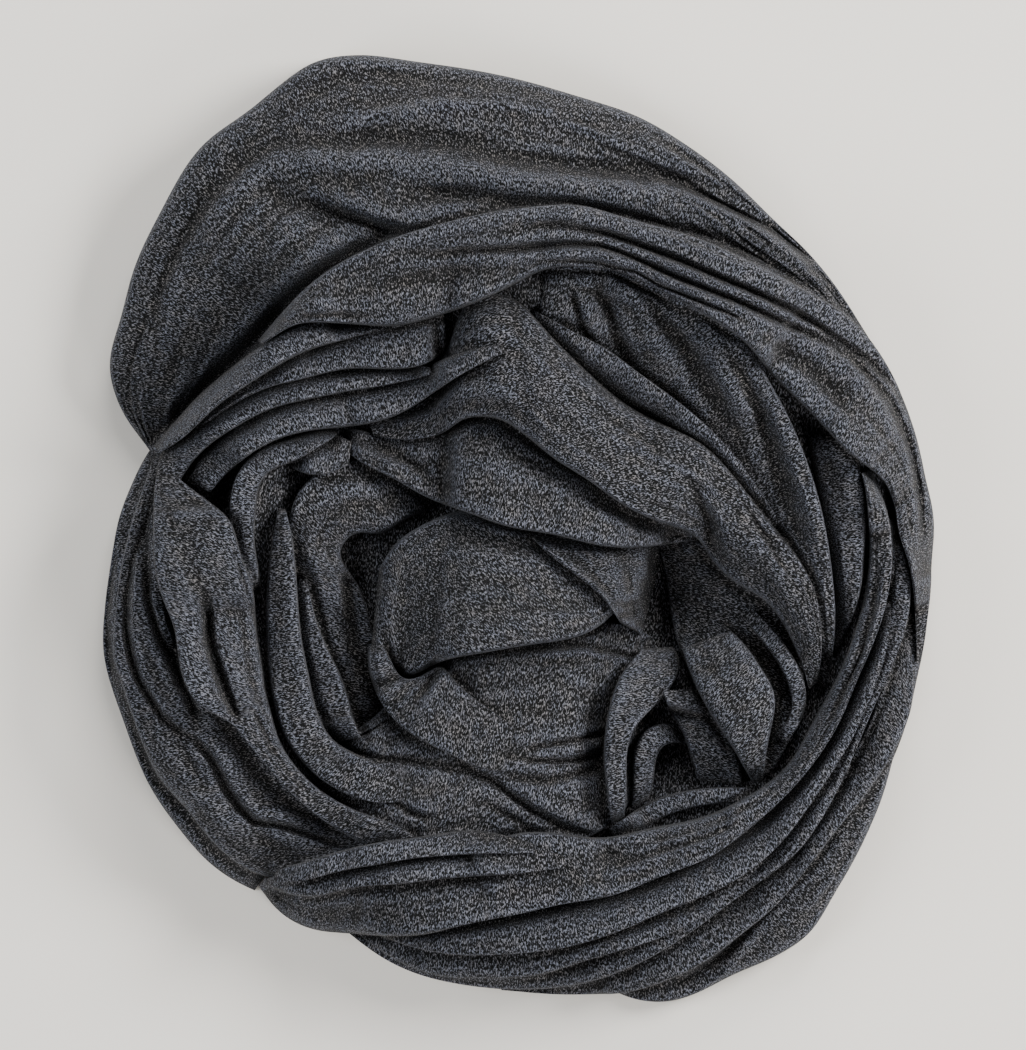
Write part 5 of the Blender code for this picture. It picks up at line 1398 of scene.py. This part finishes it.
def heather_jersey(colours, sizes):
    """Matt jersey knitted from dark and light fibres, in short flecks that lie across the folds, with
    painted highlight on its crests and painted shade in its creases.
    """
    finish = Finish("charcoal_knit")
    lengths = finish.add("ShaderNodeUVMap", {"uv_map": "cloth_lengths"})
    # The mask for the painted highlight on crests and the painted shade in creases
    crest = finish.add("ShaderNodeAttribute", {"attribute_name": "crest"}, output="Fac")

    def noise(across, along, detail, distortion, shift):
        scaled = finish.add("ShaderNodeMapping", values={
            "Vector": lengths, "Location": (shift, shift, 0), "Scale": (1 / across, 1 / along, 1)})
        return finish.add("ShaderNodeTexNoise", {"noise_dimensions": "2D"}, {
            "Vector": scaled, "Scale": 1.0, "Detail": detail, "Roughness": 0.6,
            "Distortion": distortion})

    fleck = noise(sizes.fleck_width, sizes.fleck_length, detail=1.0, distortion=0.5, shift=3.7)
    slub = noise(sizes.fleck_width * SLUB_WIDTH, sizes.fleck_length * SLUB_LENGTH, detail=1.0,
                 distortion=0.3, shift=11.3)
    patch = noise(*PATCH_SIZE, detail=2.0, distortion=0.0, shift=5.1) - 0.5
    contrast = colours.fleck_contrast
    fibres = (fleck - 0.5) * contrast + (slub - 0.5) * (SLUB_SHARE * contrast)
    # Fibres and patches are the yarn's own tone; the crest term is painted highlight on crests and painted
    # shade in creases
    tone = fibres + patch * PATCH_TONE + crest * PAINTED_CREST_SHADING
    amount = (TONE_BASE ** tone).clamped(DARKEST, LIGHTEST)
    grey = finish.add("ShaderNodeCombineXYZ", values={"X": amount, "Y": amount, "Z": amount})
    # Patches change the yarn's own warmth; crests are painted cooler and creases warmer, a painted tint of
    # light and shade
    warmth = (LEVEL_WARMTH - PAINTED_CREST_TINT * crest + patch * PATCH_WARMTH).clamped(0.0, 1.0)
    yarn_and_painted_tint = finish.mixed(warmth, (*colours.cool_yarn_and_lit_tint, 1), (*colours.warm_yarn_and_shade_tint, 1))
    colour = finish.add("ShaderNodeVectorMath", {"operation": "MULTIPLY"}, {0: yarn_and_painted_tint, 1: grey})
    rows = finish.add("ShaderNodeBump", values={
        "Height": fleck + SLUB_SHARE * slub, "Strength": KNIT_RELIEF_SHARE, "Distance": KNIT_RELIEF})
    finish.set({"Base Color": colour, "Normal": rows, "Roughness": 0.92, "Specular IOR Level": 0.2,
                "Sheen Weight": 0.03, "Sheen Roughness": 0.5, "Sheen Tint": (0.85, 0.9, 1.0, 1)})
    return finish.material


def core_profile(edge):
    """Shares of the way out from the middle to the edge, with the height of the core at each."""
    shares = list(np.linspace(0, edge.bowl_share, BOWL_RINGS + 1)[1:])
    heights = [BOWL_FLOOR] * BOWL_RINGS
    for step in range(1, WALL_RINGS + 1):
        part = step / WALL_RINGS
        shares.append(edge.bowl_share + part * (edge.rim_share - edge.bowl_share))
        heights.append(BOWL_FLOOR + (edge.rim_height - BOWL_FLOOR) * part ** 2 * (3 - 2 * part))
    for step in range(1, FLANK_RINGS + 1):
        part = step / FLANK_RINGS
        fall = (1 - part ** FLANK_ROUNDNESS) ** (1 / FLANK_ROUNDNESS)
        swell = LAYER_SWELL * np.sin(2 * np.pi * EDGE_LAYERS * part)
        shares.append(edge.rim_share + part * (1 - edge.rim_share))
        heights.append(EDGE_HEIGHT + (edge.rim_height - EDGE_HEIGHT) * fall + swell)
    return np.array(shares), np.array(heights)


def core_surface():
    """The upper surface of the hidden layers: a ring of points for each share of the way out."""
    table = np.asarray(CORE_EDGE + CORE_EDGE[:1], dtype=float)
    steps = np.linalg.norm(np.diff(table[:, 0:2], axis=0), axis=1)
    knots = np.concatenate([[0.0], np.cumsum(steps)])
    before = slice(-1 - LAP_ROWS, -1)
    after = slice(1, 1 + LAP_ROWS)
    lap = np.concatenate([table[before], table, table[after]])
    lap_knots = np.concatenate([knots[before] - knots[-1], knots, knots[after] + knots[-1]])
    places = np.linspace(0, knots[-1], CORE_BEARINGS + 1)[:-1]
    surface = []
    for row in smooth_columns(lap, lap_knots, places):
        edge = Edge(*row)
        shares, heights = core_profile(edge)
        x = NEST_MIDDLE[0] + shares * (edge.x - NEST_MIDDLE[0])
        y = NEST_MIDDLE[1] + shares * (edge.y - NEST_MIDDLE[1])
        surface.append(np.stack([x, y, heights], axis=1) * MILLIMETRE)
    surface = np.array(surface)
    sunk = surface[..., 2] + pressed(surface[..., 0], surface[..., 1], troughs_over())
    surface[..., 2] = np.maximum(sunk, LEAST_CORE_HEIGHT)
    return surface


def core_mesh(name, pile):
    """The rounded form of the hidden layers, flat where it rests."""
    surface = core_surface()
    centre = MILLIMETRE * np.array([*NEST_MIDDLE, BOWL_FLOOR])
    foot = centre + FOOT_SHARE * (surface[:, -1] - centre)
    foot[:, 2] = 0
    shape = bmesh.new()
    lengths = shape.loops.layers.uv.new("cloth_lengths")
    middle = shape.verts.new(centre)
    rings = [[shape.verts.new(point) for point in ring] for ring in surface.transpose(1, 0, 2)]
    rings.append([shape.verts.new(point) for point in foot])
    for at in range(CORE_BEARINGS):
        after = (at + 1) % CORE_BEARINGS
        shape.faces.new((middle, rings[0][at], rings[0][after]))
        for inner, outer in zip(rings[:-1], rings[1:]):
            shape.faces.new((inner[at], outer[at], outer[after], inner[after]))
    shape.faces.new(rings[-1])
    bmesh.ops.recalc_face_normals(shape, faces=shape.faces)
    for face in shape.faces:
        for loop in face.loops:
            loop[lengths].uv = (loop.vert.co.x, loop.vert.co.y)
    mesh = bpy.data.meshes.new(name)
    shape.to_mesh(mesh)
    shape.free()
    # The hidden layers get no painted highlight or shade: their crest mask stays zero
    mesh.attributes.new("crest", "FLOAT", "POINT")
    mesh.shade_smooth()
    closed = np.concatenate([surface, surface[:1]])
    middle_line = np.broadcast_to(centre, closed[:, :1].shape)
    pile.add(np.concatenate([middle_line, closed], axis=1))
    return mesh


class HijabSizes(PropertyGroup):
    """Sizes of the cloth and of its mesh."""

    cloth_thickness: FloatProperty(
        name="Cloth thickness", description="Thickness of the jersey, doubled where it folds",
        default=1.6 * MILLIMETRE, unit="LENGTH")
    station_step: FloatProperty(
        name="Step along", description="Distance between points along a stretch",
        default=1.2 * MILLIMETRE, unit="LENGTH")
    across_step: FloatProperty(
        name="Step across", description="Distance between points across a stretch",
        default=0.88 * MILLIMETRE, unit="LENGTH")
    crease_depth: FloatProperty(
        name="Crease depth", description="How deep the creases are, as a share of their tables",
        default=0.85)
    wrinkle_height: FloatProperty(
        name="Wrinkle height", description="Greatest height of a drag wrinkle",
        default=1.1 * MILLIMETRE, unit="LENGTH")
    rim_sway: FloatProperty(
        name="Rim sway", description="How far a rim wanders from its line",
        default=0.9 * MILLIMETRE, unit="LENGTH")
    fleck_width: FloatProperty(
        name="Fleck width", description="Width of a light fleck in the knit",
        default=0.35 * MILLIMETRE, unit="LENGTH")
    fleck_length: FloatProperty(
        name="Fleck length", description="Length of a light fleck in the knit",
        default=1.1 * MILLIMETRE, unit="LENGTH")


class HijabColours(PropertyGroup):
    """Colours of the heather yarn, which also give the painted tint of lit crests and shaded creases."""

    # Two yarn colours mixed by random patches; crests lean to the cool one as painted light and creases to
    # the warm one as painted shade
    cool_yarn_and_lit_tint: FloatVectorProperty(
        name="Cool yarn", description="Colour of the yarn on crests", subtype="COLOR",
        default=(0.0015, 0.0016, 0.0020))
    warm_yarn_and_shade_tint: FloatVectorProperty(
        name="Warm yarn", description="Colour of the yarn in creases", subtype="COLOR",
        default=(0.0018, 0.0017, 0.0017))
    fleck_contrast: FloatProperty(
        name="Fleck contrast", description="How far light and dark fibres differ", default=30.0)


class StageSettings(PropertyGroup):
    """The floor and the light."""

    floor_colour: FloatVectorProperty(
        name="Floor colour", description="Colour of the plain floor", subtype="COLOR",
        default=(0.775, 0.745, 0.695))
    key_power: FloatProperty(
        name="Key light", description="Power of the soft light at the right, the strongest",
        default=58.0, unit="POWER")
    room_light: FloatProperty(
        name="Room light", description="Strength of the even light all round", default=0.25)
    camera_height: FloatProperty(
        name="Camera height", description="Height of the camera over the floor", default=6.0,
        unit="LENGTH")


def add_piece(name, mesh, node):
    """A finished piece: it rides on the root body and stands for its solid."""
    piece = bpy.data.objects.new(name, mesh)
    bpy.context.scene.collection.objects.link(piece)
    material = bpy.data.materials.get("charcoal_knit")
    if material is None:
        scene = bpy.context.scene
        material = heather_jersey(scene.hijab_colours, scene.hijab_sizes)
    mesh.materials.append(material)
    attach(piece, "root")
    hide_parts(node)
    return piece


# The cloth that the operators have laid so far
pile = Pile()


def lay_group(stretches, sizes):
    for cloth in stretches:
        underside, top = laid(cloth, pile, sizes, troughs_over(cloth.name))
        piece = add_piece(cloth.name + "_cloth", shell_mesh(cloth.name, underside, top, cloth.grain),
                          cloth.name)


class HIJAB_OT_hidden_layers(Operator):
    """Lay down the rounded form that the hidden layers of the scarf share"""

    bl_idname = "hijab.hidden_layers"
    bl_label = "Hidden layers"

    def execute(self, context):
        add_piece("hidden_layers_cloth", core_mesh("hidden_layers", pile), "hidden_layers")
        return {"FINISHED"}


class HIJAB_OT_nest_bed(Operator):
    """Lay the lowest stretches inside the nest"""

    bl_idname = "hijab.nest_bed"
    bl_label = "Bed of the nest"

    def execute(self, context):
        lay_group(NEST_BED, context.scene.hijab_sizes)
        return {"FINISHED"}


class HIJAB_OT_outer_skirts(Operator):
    """Lay the wraps and bands that run down the outside of the nest"""

    bl_idname = "hijab.outer_skirts"
    bl_label = "Outer wraps and bands"

    def execute(self, context):
        lay_group(OUTER_SKIRTS, context.scene.hijab_sizes)
        return {"FINISHED"}


class HIJAB_OT_nest_folds(Operator):
    """Lay the folds and flaps inside the nest, and the round fold along its lower side"""

    bl_idname = "hijab.nest_folds"
    bl_label = "Folds in the nest"

    def execute(self, context):
        lay_group(NEST_FOLDS, context.scene.hijab_sizes)
        return {"FINISHED"}


class HIJAB_OT_ring_folds(Operator):
    """Lay the folds that lie highest on the ring of the nest"""

    bl_idname = "hijab.ring_folds"
    bl_label = "Folds on the ring"

    def execute(self, context):
        lay_group(RING_FOLDS, context.scene.hijab_sizes)
        return {"FINISHED"}


# The picture: its size in pixels, what a pixel spans, the pixel at the middle of the nest, and the
# height at which that span holds
PICTURE_WIDTH = 1026
PICTURE_HEIGHT = 1050
PIXEL_SPAN = 0.38 * MILLIMETRE
MIDDLE_PIXEL = (519, 528)
FOCUS_HEIGHT = 32 * MILLIMETRE
SENSOR_WIDTH = 36.0

# The plain floor, in metres, and how dark its faint clouds are as a share of its colour
FLOOR_SIZE = 6.0
FLOOR_CELLS = 8
FLOOR_CLOUD = 0.985

# The even light, and the soft lights round the floor, with their shares of the key light's power
ROOM_COLOUR = (1.0, 0.965, 0.93, 1)
LIGHT_AIM = (0, 0, 0.03)
SoftLight = namedtuple("SoftLight", "name place size share colour")
LIGHTS = [
    SoftLight("right_light", (1.42, 0.6, 1.2), 0.9, 1.0, (1.0, 0.99, 0.97)),
    SoftLight("upper_light", (0.2, 1.5, 1.2), 1.0, 0.46, (1.0, 0.99, 0.97)),
    SoftLight("lower_right_light", (1.0, -1.25, 1.1), 1.0, 0.5, (1.0, 0.98, 0.96)),
    SoftLight("left_light", (-1.3, -0.1, 1.1), 1.1, 0.36, (0.94, 0.97, 1.0)),
]


def add_floor(colour):
    """The plain pale floor, with a faint cloud in its colour."""
    bpy.ops.object.select_all(action="DESELECT")
    bpy.ops.mesh.primitive_grid_add(x_subdivisions=FLOOR_CELLS, y_subdivisions=FLOOR_CELLS,
                                    size=FLOOR_SIZE, location=(0, 0, 0))
    floor = bpy.context.object
    floor.name = "floor"
    finish = Finish("floor_paper")
    place = finish.add("ShaderNodeTexCoord", output="Object")
    cloud = finish.add("ShaderNodeTexNoise", values={"Vector": place, "Scale": 1.5, "Detail": 3.0})
    paper = finish.mixed(cloud, (*[FLOOR_CLOUD * part for part in colour], 1), (*colour, 1))
    finish.set({"Base Color": paper, "Roughness": 0.8, "Specular IOR Level": 0.2})
    floor.data.materials.append(finish.material)


def add_room_light(strength):
    """Even light from all round."""
    world = bpy.data.worlds.new("room")
    world.use_nodes = True
    background = world.node_tree.nodes["Background"]
    background.inputs["Color"].default_value = ROOM_COLOUR
    background.inputs["Strength"].default_value = strength
    bpy.context.scene.world = world


def add_light(light, key_power):
    """A large soft light at its place, turned to the nest."""
    data = bpy.data.lights.new(light.name, "AREA")
    data.shape = "DISK"
    data.size = light.size
    data.energy = light.share * key_power
    data.color = light.colour
    lamp = bpy.data.objects.new(light.name, data)
    bpy.context.scene.collection.objects.link(lamp)
    lamp.location = light.place
    lamp.rotation_mode = "QUATERNION"
    lamp.rotation_quaternion = (lamp.location - Vector(LIGHT_AIM)).to_track_quat("Z", "Y")


def add_camera(height):
    """A camera straight above the nest, which it shows at the picture's scale."""
    data = bpy.data.cameras.new("camera")
    data.sensor_width = SENSOR_WIDTH
    data.lens = SENSOR_WIDTH * (height - FOCUS_HEIGHT) / (PICTURE_HEIGHT * PIXEL_SPAN)
    data.dof.use_dof = False
    camera = bpy.data.objects.new("camera", data)
    bpy.context.scene.collection.objects.link(camera)
    camera.location = ((PICTURE_WIDTH / 2 - MIDDLE_PIXEL[0]) * PIXEL_SPAN,
                       (MIDDLE_PIXEL[1] - PICTURE_HEIGHT / 2) * PIXEL_SPAN, height)
    bpy.context.scene.camera = camera


class HIJAB_OT_stage(Operator):
    """Add the plain pale floor, the soft studio light and the camera straight above"""

    bl_idname = "hijab.stage"
    bl_label = "Floor, light and camera"

    def execute(self, context):
        settings = context.scene.hijab_stage
        add_floor(settings.floor_colour)
        add_room_light(settings.room_light)
        for light in LIGHTS:
            add_light(light, settings.key_power)
        add_camera(settings.camera_height)
        return {"FINISHED"}


OPERATORS = (HIJAB_OT_hidden_layers, HIJAB_OT_nest_bed, HIJAB_OT_outer_skirts,
             HIJAB_OT_nest_folds, HIJAB_OT_ring_folds, HIJAB_OT_stage)


class HIJAB_PT_panel(Panel):
    """The steps that lay the hijab, with its sizes and colours"""

    bl_idname = "HIJAB_PT_panel"
    bl_label = "Heaped hijab"
    bl_space_type = "VIEW_3D"
    bl_region_type = "UI"
    bl_category = "Hijab"

    def draw(self, context):
        scene = context.scene
        for group in (scene.hijab_sizes, scene.hijab_colours, scene.hijab_stage):
            for name in group.__annotations__:
                self.layout.prop(group, name)
        for operator in OPERATORS:
            self.layout.operator(operator.bl_idname)


CLASSES = (HijabSizes, HijabColours, StageSettings, *OPERATORS, HIJAB_PT_panel)


def register():
    """Add the classes and the settings of this file to the program."""
    for item in CLASSES:
        bpy.utils.register_class(item)
    bpy.types.Scene.hijab_sizes = PointerProperty(type=HijabSizes)
    bpy.types.Scene.hijab_colours = PointerProperty(type=HijabColours)
    bpy.types.Scene.hijab_stage = PointerProperty(type=StageSettings)


def unregister():
    """Take the settings and the classes of this file out again."""
    del bpy.types.Scene.hijab_stage
    del bpy.types.Scene.hijab_colours
    del bpy.types.Scene.hijab_sizes
    for item in reversed(CLASSES):
        bpy.utils.unregister_class(item)


def main():
    """Lay the whole hijab and its stage."""
    register()
    bpy.ops.hijab.hidden_layers()
    bpy.ops.hijab.nest_bed()
    bpy.ops.hijab.outer_skirts()
    bpy.ops.hijab.nest_folds()
    bpy.ops.hijab.ring_folds()
    bpy.ops.hijab.stage()


if __name__ == "__main__":
    main()
